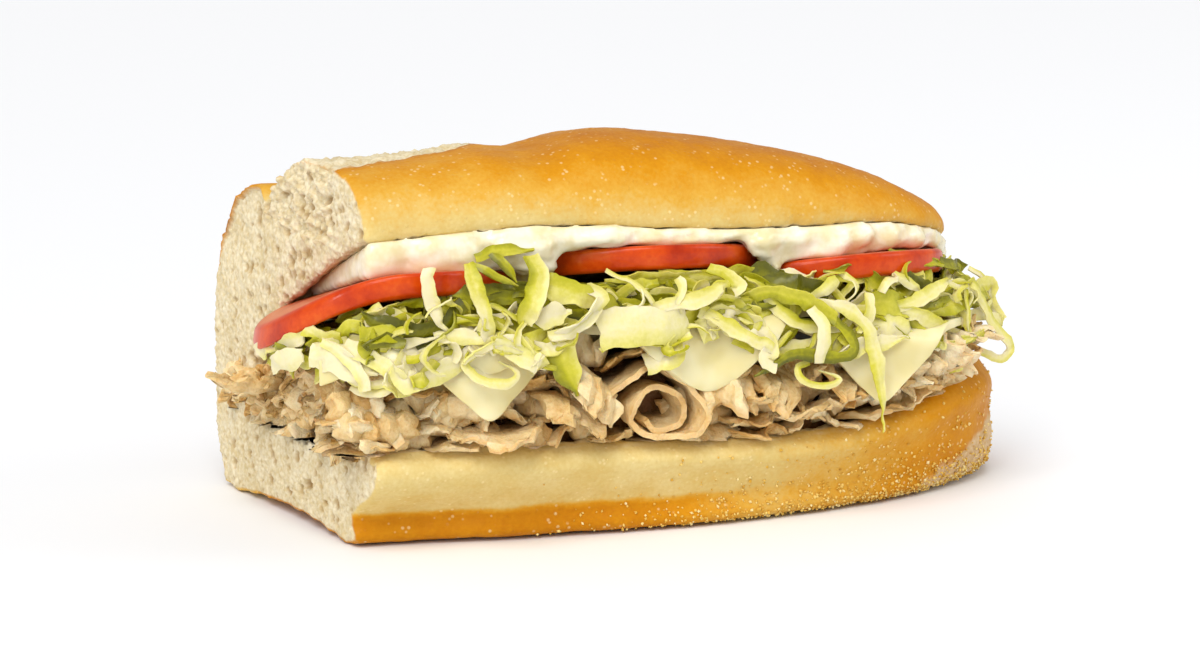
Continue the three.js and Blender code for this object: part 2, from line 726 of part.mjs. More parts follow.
const meat = joined([meatCore(), ...meatSlices()]);
addNode("shaved_meat", without(meat, rollSpace, ...cheeseSpaces), MEAT);
const meatSpace = joined([meatCore(GAP), ...meatSlices(GAP)]);

const lettuce = joined([lettuceCore(), ...lettuceShreds(), ...longShreds()]);
const round = [rollSpace, meatSpace, ...tomatoSpaces, ...cheeseSpaces];
addNode("shredded_lettuce", without(lettuce, ...round), LETTUCE);

export default sandwich;
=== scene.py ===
"""Half a stuffed submarine sandwich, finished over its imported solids.

A hinge-cut soft roll holds shaved meat, drooping cheese slices, shredded lettuce, three tomato
slices and a thick smear of mayonnaise. Shapes are worked out in millimetres in the loaf's own
frame: X runs along the loaf from the knife cut to the heel, the slit opens towards -Y and Z = 0 is
the flat of the base. mesh_object() turns them into metres in the shared frame.
"""

import logging
import math
from collections.abc import Callable, Sequence
from dataclasses import dataclass
from enum import Enum
from typing import Any

import bpy
import numpy as np
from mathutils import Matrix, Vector, noise
from mathutils.bvhtree import BVHTree

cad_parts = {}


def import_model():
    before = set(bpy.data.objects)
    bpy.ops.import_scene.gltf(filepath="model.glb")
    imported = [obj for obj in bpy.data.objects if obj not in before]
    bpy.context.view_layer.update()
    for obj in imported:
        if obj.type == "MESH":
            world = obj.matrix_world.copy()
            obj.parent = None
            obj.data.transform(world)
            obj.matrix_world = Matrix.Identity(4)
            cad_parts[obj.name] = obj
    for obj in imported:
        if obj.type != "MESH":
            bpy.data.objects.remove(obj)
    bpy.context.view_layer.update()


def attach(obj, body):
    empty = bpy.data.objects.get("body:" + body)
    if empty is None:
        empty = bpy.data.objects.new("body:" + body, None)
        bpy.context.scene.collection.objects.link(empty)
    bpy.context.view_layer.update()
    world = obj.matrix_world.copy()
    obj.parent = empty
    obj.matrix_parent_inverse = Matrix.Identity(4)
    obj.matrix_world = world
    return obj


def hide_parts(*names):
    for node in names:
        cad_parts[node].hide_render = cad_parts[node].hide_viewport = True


LOG = logging.getLogger("sandwich")
MM = 0.001
LOAF_MIDDLE = np.array([-2.341, -4.386, 0.0])  # the shared frame's origin, in the loaf's millimetres
NOISE_SEED = 7  # without it, noise vectors would differ from run to run
CRISP_DEG = 50.0  # an edge stays crisp where its faces turn by more
STRAIGHT_OUT = (0.0, -1.0, 0.15)  # the way most strips face: to the front and a little up

Array = np.ndarray
Socket = bpy.types.NodeSocket
Object = bpy.types.Object
Random = np.random.Generator
Triple = tuple[float, float, float]


def smoothstep(x: Any, low: float, high: float) -> Any:
    """Rises smoothly from 0 at low to 1 at high."""
    t = np.clip((x - low) / (high - low), 0.0, 1.0)
    return t * t * (3 - 2 * t)


def lerp(a: Any, b: Any, share: Any) -> Any:
    """Goes from a to b as share goes from 0 to 1."""
    return a + (b - a) * share


def unit(vectors: Array) -> Array:
    """Scales vectors, along the last axis, to length 1."""
    return vectors / np.maximum(np.linalg.norm(vectors, axis=-1, keepdims=True), 1e-9)


class Along:
    """A smooth value along the roll, through a few (x, value) knots and level beyond them."""

    def __init__(self, *knots: tuple[float, float]) -> None:
        """Keeps the knots and works out the slope at each.

        Args:
            knots: pairs of a place and the value there, in rising order of place.
        """
        self.place, self.value = (np.array(column, float) for column in zip(*knots))
        slope = np.zeros(len(knots))
        slope[1:-1] = (self.value[2:] - self.value[:-2]) / (self.place[2:] - self.place[:-2])
        slope[-1] = (self.value[-1] - self.value[-2]) / (self.place[-1] - self.place[-2])
        self.slope = slope

    def __call__(self, x: Any) -> Array:
        """Gives the value at each x."""
        x = np.clip(np.asarray(x, float), self.place[0], self.place[-1])
        i = np.clip(np.searchsorted(self.place, x, side="right") - 1, 0, len(self.place) - 2)
        h = self.place[i + 1] - self.place[i]
        t = (x - self.place[i]) / h
        return (
            self.value[i] * (2 * t**3 - 3 * t**2 + 1)
            + self.slope[i] * h * (t**3 - 2 * t**2 + t)
            + self.value[i + 1] * (3 * t**2 - 2 * t**3)
            + self.slope[i + 1] * h * (t**3 - t**2)
        )


@dataclass(frozen=True)
class Loaf:
    """Sizes of the half loaf and the heights that run along it, in millimetres."""

    cut_x: float = -76.0
    cut_y: float = -27.0
    cut_slant_deg: float = 8.0
    start_x: float = -104.0
    heel_tip_x: float = 94.5
    flap_tip_x: float = 81.0
    half_width: float = 45.0
    crease_z: float = 7.5
    wall_back_y: float = 22.0
    peak_y: float = -17.0
    shoulder_y: float = 17.0
    widest_z: float = 29.0
    ground_front_y: Along = Along((-76, -27), (-41, -32), (-5, -35), (20, -35.5))
    lip_out_y: Along = Along((-76, -44), (-40, -45.4), (0, -46))
    brow_out_y: Along = Along((-75, -37.8), (-40, -39), (0, -40))
    lip_z: Along = Along(
        (-76, 23.4), (-43, 23.2), (-10, 21.8), (20, 20.4), (44, 21.2), (58, 23.5), (70, 26.5), (84, 29)
    )
    brow_z: Along = Along(
        (-75, 71.2), (-44, 72.4), (-29, 72.4), (-10, 70.8), (5, 69.6), (30, 68.6),
        (50, 67.6), (62, 65.6), (72, 62.6), (78, 60), (81, 57.5),
    )  # fmt: skip
    crown_z: Along = Along(
        (-76, 85), (-62, 85), (-48, 86), (-40, 86.7), (-31, 85.8), (-22, 87.9), (-14, 89.1), (-4, 88.7),
        (12, 86.6), (25, 84.3), (38, 81.4), (51, 77.6), (64, 72.4), (74, 67), (82, 60),
    )  # fmt: skip
    hinge_z: Along = Along((-76, 76.5), (-40, 77.5), (0, 77), (30, 72), (60, 62), (82, 52))

    def taper(self, x: Any, tip: float, power: float) -> Array:
        """Share of the full width that is left at x, for a level whose tip is at tip."""
        u = np.clip(np.asarray(x, float) / tip, 0.0, 1.0)
        return (1 - u**power) ** (1 / power)

    def cut_x_at(self, y: Any) -> Any:
        """Where the knife cut crosses y."""
        return self.cut_x - math.tan(math.radians(self.cut_slant_deg)) * (y - self.cut_y)

    def past_cut(self, points: Array) -> Array:
        """Distance of points from the knife cut, positive inside the loaf."""
        angle = math.radians(self.cut_slant_deg)
        x, y = points[:, 0] - self.cut_x, points[:, 1] - self.cut_y
        return x * math.cos(angle) + y * math.sin(angle)

    def base_z(self, x: Any) -> Any:
        """Height of the underside, which lifts a little at the heel."""
        return 0.9 * smoothstep(x, 66, 94)

    def split(self, x: Any) -> Any:
        """1 where the crust burst open along the top, by the cut, and 0 where it is whole."""
        return 1 - smoothstep(x, -52, -22)

    def bed_z(self, x: Any) -> Any:
        """Height of the pressed crumb under the meat."""
        return self.lip_z(x) - 3.2

    def wall_y(self, x: Any) -> Any:
        """Inner face of the hinge wall. The slit runs out through the back near the heel."""
        return self.wall_back_y + 44 * smoothstep(x, 52, 80)

    def flap_front_y(self, x: Any) -> Any:
        """Front edge of the flap's underside."""
        return -38 * self.taper(x, self.flap_tip_x, 2.4)

    def ceiling_z(self, x: Any, y: Any) -> Any:
        """Height of the flap's underside, which falls back to the hinge."""
        pinch = 1 - smoothstep(x, -84, -62)
        return self.brow_z(x) - 0.9 - (0.235 + 0.27 * pinch) * np.clip(y - self.flap_front_y(x), 0, 60)

    def levels(self) -> list[tuple[float, float]]:
        """The tip and the power that each point of outline() tapers with, in its order."""
        low = (self.heel_tip_x, 1.9)
        crease = (self.heel_tip_x, 2.5)
        side = (self.heel_tip_x - 2, 2.6)
        lip = (self.heel_tip_x - 4.5, 2.5)
        flap = (self.flap_tip_x, 2.4)
        back = [(lerp(self.flap_tip_x, self.heel_tip_x, i / 8), 2.4) for i in range(9)]
        return [low, crease, side, side, lip, lip, lip, flap, *[flap] * 12, *back, side, crease, low]

    def outline(self, x: Array) -> Array:
        """The uncut loaf's outline at each x.

        Args:
            x: places along the loaf.

        Returns:
            One row of (y, z) pairs, over x, for each point of the outline.
        """
        lip, brow, crown, front = self.lip_z(x), self.brow_z(x), self.crown_z(x), self.lip_out_y(x)
        base, ground, brow_y = self.base_z(x), self.ground_front_y(x), self.brow_out_y(x)
        split = self.split(x)
        rows = [
            (ground, base),
            (ground - 4.2, self.crease_z + 0.5 * base),
            (front + 3.2, 0.6 * lip),
            (front, 0.82 * lip),
            (front + 1.6, lip - 1.2),
            (front + 4, lip + 0.4),
            (front + 2, (lip + brow) / 2),
            (brow_y, brow - 1.6),
        ]
        for angle in np.linspace(0, math.pi / 2, 8):
            across = max(math.cos(angle), 0.0) ** 0.75
            y = self.peak_y - (self.peak_y - brow_y) * across
            rows.append((y, brow + (crown - brow) * math.sin(angle) ** 0.9))

        def dome(y: float) -> Array:
            share = (y - self.peak_y) / (self.half_width - self.peak_y)
            return self.widest_z + (crown - self.widest_z) * math.sqrt(1 - share**2)

        valley = self.hinge_z(x) - 3.5
        for y, share in ((-6, 0.97), (3, 0.72), (9.5, 0.32), (13.5, 0)):
            rows.append((y + 0 * x, lerp(dome(y), lerp(valley, crown, share), split)))
        for angle in np.linspace(0, math.pi / 2, 9):
            y = self.shoulder_y + (self.half_width - self.shoulder_y) * math.sin(angle) ** 0.9
            hinge = self.widest_z + (self.hinge_z(x) - 1 - self.widest_z) * max(math.cos(angle), 0.0) ** 0.9
            rows.append((y + 0 * x, lerp(np.maximum(dome(y), hinge - 8), hinge, split)))
        rows.append((self.half_width - 0.8 + 0 * x, 13 + 0 * x))
        rows.append((self.half_width - 4.5 + 0 * x, 4.5 + 0.5 * base))
        rows.append((self.half_width - 12 + 0 * x, base))
        return np.array([[y, z] for y, z in rows])

    def rings(self, body_steps: int = 46, heel_steps: int = 40) -> Array:
        """Rings of the whole loaf as if it had never been opened, as (station, point, xyz)."""
        levels = self.levels()
        count = len(levels)
        body = np.linspace(self.start_x, 0, body_steps, endpoint=False)
        angle = np.radians(np.linspace(0, 88.6, heel_steps))
        rings = np.zeros((body_steps + heel_steps, count, 3))
        for k, (tip, power) in enumerate(levels):
            x = np.concatenate([body, tip * np.sin(angle)])
            y, z = self.outline(x)[k]
            rings[:, k] = np.stack([x, y * self.taper(x, tip, power), z], axis=-1)
        return rings


LOAF = Loaf()


@dataclass(frozen=True)
class Layers:
    """Heights of the fillings' layers, in millimetres."""

    slope: float = 0.176
    front_y: float = -44.0
    meat_front_z: float = 42.0
    cheese_thick: float = 2.0
    cheese_step: float = 2.6
    lettuce_front_z: float = 59.4
    tomato_radius: float = 29.0
    tomato_thick: float = 5.6
    mayo_thick: float = 5.6
    gap: float = 0.35

    def meat_top_z(self, x: Any, y: Any) -> Any:
        """Height of the heap of meat."""
        wave = 0.5 * np.sin(x * 0.09)
        return self.meat_front_z - 0.1 * (y - self.front_y) - 2.5 * smoothstep(x, 20, 60) + wave

    def mayo_front_y(self, x: Any) -> Any:
        """Front edge of the mayonnaise."""
        return (LOAF.brow_out_y(x) - 0.9) * LOAF.taper(x, LOAF.flap_tip_x - 0.5, 2.4) + 0.6

    def mayo_back_y(self, x: Any) -> Any:
        """Back edge of the mayonnaise."""
        return np.maximum(self.mayo_front_y(x) + 16, np.minimum(8, LOAF.wall_y(x) - 8))

    def mayo_low_z(self, x: Any, y: Any) -> Any:
        """Height of the mayonnaise's underside."""
        front = self.mayo_front_y(x)
        v = np.clip((y - front) / (self.mayo_back_y(x) - front), 0, 1)
        swell = np.where(v < 0.1, 1.0, lerp(1.2, 0.5, v))
        ends = 2.2 * smoothstep(x, 66, 80) + 3.5 * smoothstep(-x, 25, 45)
        lumps = 1.3 * np.sin(x * 0.21 + 0.6) + 0.9 * np.sin(x * 0.47 + 2)
        return LOAF.ceiling_z(x, y) - self.gap - self.mayo_thick * swell - lumps * (1 - 0.6 * v) - ends

    def filling_front(self, x: Any, tip: float = 91.5, inset: float = 8.5) -> Any:
        """Front outline of the heap of fillings, seen from above."""
        return (LOAF.lip_out_y(x) + inset) * LOAF.taper(x, tip, 2.5)

    def filling_back(self, x: Any) -> Any:
        """Back outline of the heap of fillings: along the hinge, and out at the heel."""
        return np.minimum(LOAF.wall_back_y - 8 + 14 * smoothstep(x, 50, 70), 35 * LOAF.taper(x, 91.5, 2.5))


LAYERS = Layers()


def deselect() -> None:
    """Leaves object mode and deselects everything."""
    if bpy.context.mode != "OBJECT":
        bpy.ops.object.mode_set(mode="OBJECT")
    bpy.ops.object.select_all(action="DESELECT")


def pick(piece: Object) -> None:
    """Makes one object the active and only selected one."""
    deselect()
    piece.select_set(True)
    bpy.context.view_layer.objects.active = piece


def edit_all(piece: Object, operator: Callable[..., Any], **settings: Any) -> None:
    """Runs a mesh operator on all of one object's faces."""
    pick(piece)
    bpy.ops.object.mode_set(mode="EDIT")
    bpy.ops.mesh.select_all(action="SELECT")
    operator(**settings)
    bpy.ops.object.mode_set(mode="OBJECT")


def face_out(piece: Object) -> None:
    """Turns all of a closed mesh's faces outwards."""
    edit_all(piece, bpy.ops.mesh.normals_make_consistent, inside=False)


def apply_modifier(piece: Object, kind: str, **settings: Any) -> None:
    """Adds a modifier with its settings and applies it."""
    pick(piece)
    bpy.ops.object.modifier_add(type=kind)
    modifier = piece.modifiers[-1]
    for key, value in settings.items():
        setattr(modifier, key, value)
    bpy.ops.object.modifier_apply(modifier=modifier.name)


def mesh_object(name: str, points: Array, quads: Array, caps: Sequence[Sequence[int]] = ()) -> Object:
    """Makes a mesh from points in the loaf's millimetres.

    Args:
        name: the object's name.
        points: (count, 3) places in millimetres.
        quads: (count, 4) vertex numbers of the four-sided faces.
        caps: vertex numbers of any faces with more sides.

    Returns:
        The object, at the origin of the shared frame with its place in its mesh.
    """
    mesh = bpy.data.meshes.new(name)
    loops = np.concatenate([np.asarray(quads).ravel(), *[np.asarray(cap) for cap in caps]])
    sizes = np.array([4] * len(quads) + [len(cap) for cap in caps])
    mesh.vertices.add(len(points))
    mesh.vertices.foreach_set("co", ((points - LOAF_MIDDLE) * MM).astype(np.float32).ravel())
    mesh.loops.add(len(loops))
    mesh.loops.foreach_set("vertex_index", loops.astype(np.int32))
    mesh.polygons.add(len(sizes))
    mesh.polygons.foreach_set("loop_start", (np.cumsum(sizes) - sizes).astype(np.int32))
    mesh.update(calc_edges=True)
    mesh.validate()
    piece = bpy.data.objects.new(name, mesh)
    bpy.context.scene.collection.objects.link(piece)
    return piece


def points_of(piece: Object) -> Array:
    """A mesh's vertices, in the loaf's millimetres."""
    co = np.empty(len(piece.data.vertices) * 3, np.float32)
    piece.data.vertices.foreach_get("co", co)
    return co.reshape(-1, 3).astype(float) / MM + LOAF_MIDDLE


def normals_of(piece: Object) -> Array:
    """A mesh's vertex normals."""
    vectors = np.empty(len(piece.data.vertices) * 3, np.float32)
    piece.data.vertex_normals.foreach_get("vector", vectors)
    return vectors.reshape(-1, 3).astype(float)


def move_points(piece: Object, points: Array) -> None:
    """Puts a mesh's vertices at these places, in the loaf's millimetres."""
    piece.data.vertices.foreach_set("co", ((points - LOAF_MIDDLE) * MM).astype(np.float32).ravel())
    piece.data.update()


def paint(piece: Object, name: str, values: Array) -> None:
    """Stores a value for each vertex, for the material to read."""
    attribute = piece.data.attributes.new(name, "FLOAT", "POINT")
    attribute.data.foreach_set("value", np.asarray(values, np.float32))


def rough(points: Array, size: float, octaves: int = 3, seed: float = 0.0) -> Array:
    """Fractal noise from about -1 to 1 whose largest lumps are size millimetres across."""
    places = (points / size + seed).tolist()
    return np.array([noise.fractal(place, 1.0, 2.0, octaves) for place in places])


def drift(points: Array, size: float, seed: float = 0.0) -> Array:
    """Smooth random vectors, each part from about -1 to 1, that change over size millimetres."""
    places = (points / size + seed).tolist()
    return np.array([noise.noise_vector(place) for place in places])


def loft(name: str, rings: Array) -> Object:
    """A closed solid over rings of points, with its two ends filled.

    Args:
        name: the object's name.
        rings: (station, point, xyz) places in millimetres.

    Returns:
        The object, with its faces pointing out.
    """
    stations, count = rings.shape[:2]
    index = np.arange(stations * count).reshape(stations, count)
    after = np.roll(index, -1, axis=1)
    quads = np.stack([index[:-1], after[:-1], after[1:], index[1:]], axis=-1).reshape(-1, 4)
    piece = mesh_object(name, rings.reshape(-1, 3), quads, [index[0][::-1], index[-1]])
    face_out(piece)
    return piece


def between(a: Array, b: Array, c: Array, d: Array, t: Any) -> Array:
    """A place on the smooth curve through a, b, c and d: at b for a t of 0 and at c for 1."""
    return 0.5 * (2 * b + (c - a) * t + (2 * a - 5 * b + 4 * c - d) * t**2 + (3 * b - a - 3 * c + d) * t**3)


def rounded(rings: Array, factor: int) -> Array:
    """Puts factor points on each side of closed rings, on a smooth curve through their corners."""
    corners = [np.roll(rings, shift, axis=1) for shift in (1, 0, -1, -2)]
    parts = [between(*corners, step / factor) for step in range(factor)]
    return np.stack(parts, axis=2).reshape(rings.shape[0], -1, 3)


def smooth_line(knots: Array, count: int) -> Array:
    """Evenly numbered points on a smooth line through knots."""
    knots = np.asarray(knots, float)
    full = np.concatenate([[2 * knots[0] - knots[1]], knots, [2 * knots[-1] - knots[-2]]])
    s = np.linspace(0, len(knots) - 1, count)
    i = np.minimum(s.astype(int), len(knots) - 2)
    return between(full[i], full[i + 1], full[i + 2], full[i + 3], (s - i)[:, None])


class Pile:
    """Gathers many thin closed sheets into one mesh."""

    def __init__(self) -> None:
        """Starts an empty pile."""
        self.points: list[Array] = []
        self.quads: list[Array] = []
        self.values: list[dict[str, Array]] = []
        self.count = 0

    def add(self, points: Array, quads: Array, **values: Any) -> None:
        """Adds a closed mesh with a value, or one for each vertex, under each name."""
        self.quads.append(quads + self.count)
        self.points.append(points)
        self.values.append({name: np.broadcast_to(v, len(points)) for name, v in values.items()})
        self.count += len(points)

    def sheet(self, middle: Array, thick: Any, **values: Any) -> None:
        """Adds a sheet with two faces and a rim.

        Args:
            middle: (along, across, xyz) places of its middle surface, in millimetres.
            thick: its thickness, one number or one for each place.
            values: attributes, one number or one for each place.
        """
        normal = unit(np.cross(np.gradient(middle, axis=0), np.gradient(middle, axis=1)))
        half = np.broadcast_to(np.asarray(thick, float) / 2, middle.shape[:2])[..., None]
        off = normal * half
        points = np.concatenate([(middle + off).reshape(-1, 3), (middle - off).reshape(-1, 3)])
        nu, nv = middle.shape[:2]
        top = np.arange(nu * nv).reshape(nu, nv)
        low = top + nu * nv
        a, b, c, d = top[:-1, :-1], top[1:, :-1], top[1:, 1:], top[:-1, 1:]
        faces = [np.stack([a, b, c, d], -1).reshape(-1, 4)]
        a, b, c, d = low[:-1, :-1], low[:-1, 1:], low[1:, 1:], low[1:, :-1]
        faces.append(np.stack([a, b, c, d], -1).reshape(-1, 4))
        rim = np.concatenate([top[:, 0], top[-1, 1:], top[::-1, -1][1:], top[0, ::-1][1:]])
        under = rim + nu * nv
        faces.append(np.stack([rim[:-1], under[:-1], under[1:], rim[1:]], -1))
        flat = {k: np.tile(np.broadcast_to(v, (nu, nv)).ravel(), 2) for k, v in values.items()}
        self.add(points, np.concatenate(faces), **flat)

    def build(self, name: str) -> Object:
        """Makes the mesh, with its attributes."""
        piece = mesh_object(name, np.concatenate(self.points), np.concatenate(self.quads))
        for key in self.values[0]:
            paint(piece, key, np.concatenate([v[key] for v in self.values]))
        return piece


def ribbon(line: Array, facing: Array, width: Any, roll: Any, cup: Any = 0.0, steps: int = 4) -> Array:
    """The middle surface of a strip along a line.

    Args:
        line: (count, 3) points that it follows.
        facing: the way its face points before it is turned.
        width: its width, one number or one for each point.
        roll: radians that it is turned about its line.
        cup: how far its middle stands off its edges.
        steps: faces across it.

    Returns:
        (along, across, xyz) places.
    """
    tangent = unit(np.gradient(line, axis=0))
    side = unit(np.cross(np.broadcast_to(facing, line.shape), tangent))
    normal = np.cross(tangent, side)
    roll = np.broadcast_to(roll, len(line))[:, None]
    across = side * np.cos(roll) + normal * np.sin(roll)
    out = normal * np.cos(roll) - side * np.sin(roll)
    s = np.linspace(-0.5, 0.5, steps + 1)[None, :, None]
    width = np.broadcast_to(width, len(line))[:, None, None]
    cup = np.broadcast_to(cup, len(line))[:, None, None]
    return line[:, None] + across[:, None] * (s * width) + out[:, None] * (cup * (0.5 - 4 * s * s))


# Materials


def linear(code: str, strength: float = 1.0) -> tuple[float, float, float, float]:
    """Turns an sRGB hex colour, such as #E8A53A, to Blender's linear one."""
    parts = [int(code[i : i + 2], 16) / 255 for i in (1, 3, 5)]
    red, green, blue = (p / 12.92 if p <= 0.04045 else ((p + 0.055) / 1.055) ** 2.4 for p in parts)
    return red * strength, green * strength, blue * strength, 1.0


class Nodes:
    """The nodes of one material. Their sizes are real millimetres."""

    def __init__(self, tree: bpy.types.NodeTree) -> None:
        """Empties the tree and adds the node that tells places on the object.

        Args:
            tree: the material's node tree.
        """
        self.tree = tree
        tree.nodes.clear()
        self.place = self.add("TexCoord").outputs["Object"]

    def add(self, kind: str, inputs: dict[Any, Any] | None = None, **settings: Any) -> bpy.types.Node:
        """Adds a node, sets its settings and sets or links its inputs.

        Args:
            kind: the node's type, without its ShaderNode prefix.
            inputs: a value or another node's output socket for each input, by name or number.
            settings: its properties.

        Returns:
            The new node.
        """
        made = self.tree.nodes.new("ShaderNode" + kind)
        for key, value in settings.items():
            setattr(made, key, value)
        for key, value in (inputs or {}).items():
            if isinstance(value, bpy.types.NodeSocket):
                self.tree.links.new(value, made.inputs[key])
            else:
                made.inputs[key].default_value = value
        return made

    def grain(self, size: float, detail: float = 2.0) -> Socket:
        """Noise whose lumps are size millimetres across."""
        inputs = {"Vector": self.place, "Scale": 1 / (size * MM), "Detail": detail}
        return self.add("TexNoise", inputs).outputs[0]

    def reading(self, name: str) -> Socket:
        """A value that the mesh holds for each vertex."""
        return self.add("Attribute", attribute_name=name).outputs["Fac"]

    def sum_of(self, *terms: tuple[Socket | float, float]) -> Socket:
        """Adds terms, each times its weight. A bare number is a term with the weight it adds."""
        total: Socket | float = 0.0
        for value, weight in terms:
            made = self.add("Math", {0: value, 1: weight, 2: total}, operation="MULTIPLY_ADD")
            total = made.outputs[0]
        return total

    def blend(self, share: Socket | float, a: Any, b: Any) -> Socket:
        """Mixes two colours, each a socket or a hex code."""
        first, second = (linear(colour) if isinstance(colour, str) else colour for colour in (a, b))
        return self.add("Mix", {0: share, 6: first, 7: second}, data_type="RGBA").outputs[2]

    def ramp(self, value: Socket, *stops: tuple[float, str]) -> Socket:
        """Turns a value into a colour by its (place, hex code) stops."""
        made = self.add("ValToRGB", {0: value})
        elements = made.color_ramp.elements
        while len(elements) < len(stops):
            elements.new(1.0)
        for element, (place, code) in zip(elements, stops):
            element.position = place
            element.color = linear(code)
        return made.outputs[0]

    def band(self, value: Socket, low: float, high: float) -> Socket:
        """0 where value is under low, rising smoothly to 1 over high."""
        inputs = {"Value": value, "From Min": low, "From Max": high}
        return self.add("MapRange", inputs, interpolation_type="SMOOTHSTEP").outputs[0]

    def relief(self, height: Socket, depth: float, strength: float) -> Socket:
        """A bump whose height of 1 is depth millimetres."""
        inputs = {"Height": height, "Distance": depth * MM, "Strength": strength}
        return self.add("Bump", inputs).outputs[0]


@dataclass(frozen=True)
class Finish:
    """A material with one Principled shader."""

    name: str = "finish"

    def surface(self, nodes: Nodes) -> dict[str, Any]:
        """Adds the pattern's nodes and gives the shader's inputs."""
        raise NotImplementedError

    def make(self) -> bpy.types.Material:
        """Makes the material."""
        material = bpy.data.materials.new(self.name)
        material.use_nodes = True
        nodes = Nodes(material.node_tree)
        shader = nodes.add("BsdfPrincipled", self.surface(nodes))
        nodes.add("OutputMaterial", {"Surface": shader.outputs["BSDF"]})
        return material

    @staticmethod
    def soft(weight: float, depth: float, radius: Triple) -> dict[str, Any]:
        """Inputs that let light in under the surface, over depth millimetres."""
        return {"Subsurface Weight": weight, "Subsurface Scale": depth * MM, "Subsurface Radius": radius}

    @staticmethod
    def wet(weight: float, roughness: float) -> dict[str, Any]:
        """Inputs for a clear, moist coat."""
        return {"Coat Weight": weight, "Coat Roughness": roughness}


@dataclass(frozen=True)
class BakedBread(Finish):
    """Oven-baked white bread: a thin satin crust, browned where it rose highest, over open matt crumb."""

    name: str = "baked_bread"
    crust: tuple[tuple[float, str], ...] = (
        (0.0, "#E8D496"),
        (0.2, "#DABE74"),
        (0.4, "#D7A43E"),
        (0.6, "#CF8C10"),
        (0.8, "#BE7604"),
        (1.0, "#925608"),
    )
    crumb_light: str = "#EADFC2"
    crumb_shade: str = "#CFBB8E"
    painted_hollow_shade: str = "#A07E4A"
    fleck: str = "#FBE7B0"
    mottle_mm: float = 7.0
    blister_mm: float = 1.7

    def surface(self, nodes: Nodes) -> dict[str, Any]:
        """Browns the crust by its bake value and shows crumb where the mesh says so."""
        crumb = nodes.reading("crumb")
        mottle = nodes.grain(self.mottle_mm, 3)
        fine = nodes.grain(0.9, 3)
        bake = nodes.reading("bake")
        baked = nodes.sum_of((bake, 1.0), (mottle, 0.32), (fine, 0.22), (1.0, -0.27))
        crust = nodes.ramp(baked, *self.crust)
        cells = nodes.add("TexVoronoi", {"Vector": nodes.place, "Scale": 1 / (self.blister_mm * MM)})
        spot = nodes.band(cells.outputs["Distance"], 0.30, 0.12)
        rare = nodes.band(nodes.grain(5.0, 1), 0.46, 0.60)
        fleck = nodes.add("Math", {0: spot, 1: rare}, operation="MULTIPLY").outputs[0]
        crust = nodes.blend(nodes.sum_of((fleck, 0.4)), crust, self.fleck)
        airy, cloudy = nodes.grain(1.1, 4), nodes.grain(6.0, 2)
        soft = nodes.sum_of((airy, 0.9), (cloudy, 0.5), (1.0, -0.2))
        inside = nodes.blend(nodes.band(soft, 0.25, 0.8), self.crumb_shade, self.crumb_light)
        # painted shade: darkens the crumb in its holes and low hollows
        inside = nodes.blend(nodes.reading("painted_hollow_shade"), inside, self.painted_hollow_shade)
        colour = nodes.blend(crumb, crust, inside)
        bumps = nodes.relief(nodes.sum_of((fine, 0.5), (spot, 0.5)), 0.22, 0.55)
        return {
            "Base Color": colour,
            "Roughness": nodes.sum_of((crumb, 0.42), (fine, 0.12), (1.0, 0.40)),
            "Normal": bumps,
            "IOR": 1.45,
            "Specular IOR Level": 0.14,
            **self.soft(0.06, 1.2, (1.0, 0.7, 0.4)),
        }


@dataclass(frozen=True)
class MealGrain(Finish):
    """Coarse-ground maize baked on to the crust: dull pale-yellow grit."""

    name: str = "maize_grit"

    def surface(self, nodes: Nodes) -> dict[str, Any]:
        """Gives each grain its own yellow."""
        tint = nodes.reading("tone")
        stops = ((0.0, "#C08A20"), (0.4, "#E0B040"), (0.75, "#F0D074"), (1.0, "#F8E8B0"))
        colour = nodes.ramp(tint, *stops)
        return {"Base Color": colour, "Roughness": 0.7}


@dataclass(frozen=True)
class WhippedEggDressing(Finish):
    """Thick mayonnaise, an emulsion spread with a knife: opaque, creamy and wet-looking."""

    name: str = "mayonnaise"

    def surface(self, nodes: Nodes) -> dict[str, Any]:
        """Gives a cream mottled by noise with a darker yellow, which is painted shade."""
        # painted shade: lit cream and a darker yellow shade colour, mixed in 5 mm noise patches
        fold = nodes.grain(5.0, 3)
        colour = nodes.blend(nodes.band(fold, 0.3, 0.7), "#E8DAA8", "#FAF4DC")
        return {
            "Base Color": colour,
            "Roughness": 0.24,
            "Normal": nodes.relief(nodes.grain(1.6, 2), 0.25, 0.4),
            "IOR": 1.46,
            **self.wet(0.35, 0.12),
            **self.soft(0.15, 1.5, (1.0, 0.85, 0.6)),
        }


@dataclass(frozen=True)
class RipeTomato(Finish):
    """Sliced ripe tomato: a taut, wet, orange-red skin round paler juicy flesh."""

    name: str = "ripe_tomato"

    def surface(self, nodes: Nodes) -> dict[str, Any]:
        """Shows skin at the rim and flesh with seed chambers on the cut faces."""
        skin = nodes.reading("skin")
        blotch = nodes.grain(9.0, 2)
        fine = nodes.grain(1.2, 3)
        ripe = nodes.sum_of((blotch, 0.8), (fine, 0.25))
        stops = ((0.25, "#A02200"), (0.45, "#C23800"), (0.6, "#D44A02"), (0.8, "#E06A1C"))
        outer = nodes.ramp(ripe, *stops)
        wet = nodes.reading("chamber")
        flesh = nodes.blend(fine, "#C84416", "#E06C34")
        inner = nodes.blend(wet, flesh, "#AE2E08")
        return {
            "Base Color": nodes.blend(skin, inner, outer),
            "Roughness": nodes.sum_of((fine, 0.12), (1.0, 0.26)),
            "Normal": nodes.relief(nodes.sum_of((fine, 1.0)), 0.12, 0.3),
            "IOR": 1.42,
            "Specular IOR Level": 0.28,
            **self.wet(0.16, 0.05),
            **self.soft(0.08, 2.0, (1.0, 0.25, 0.1)),
        }


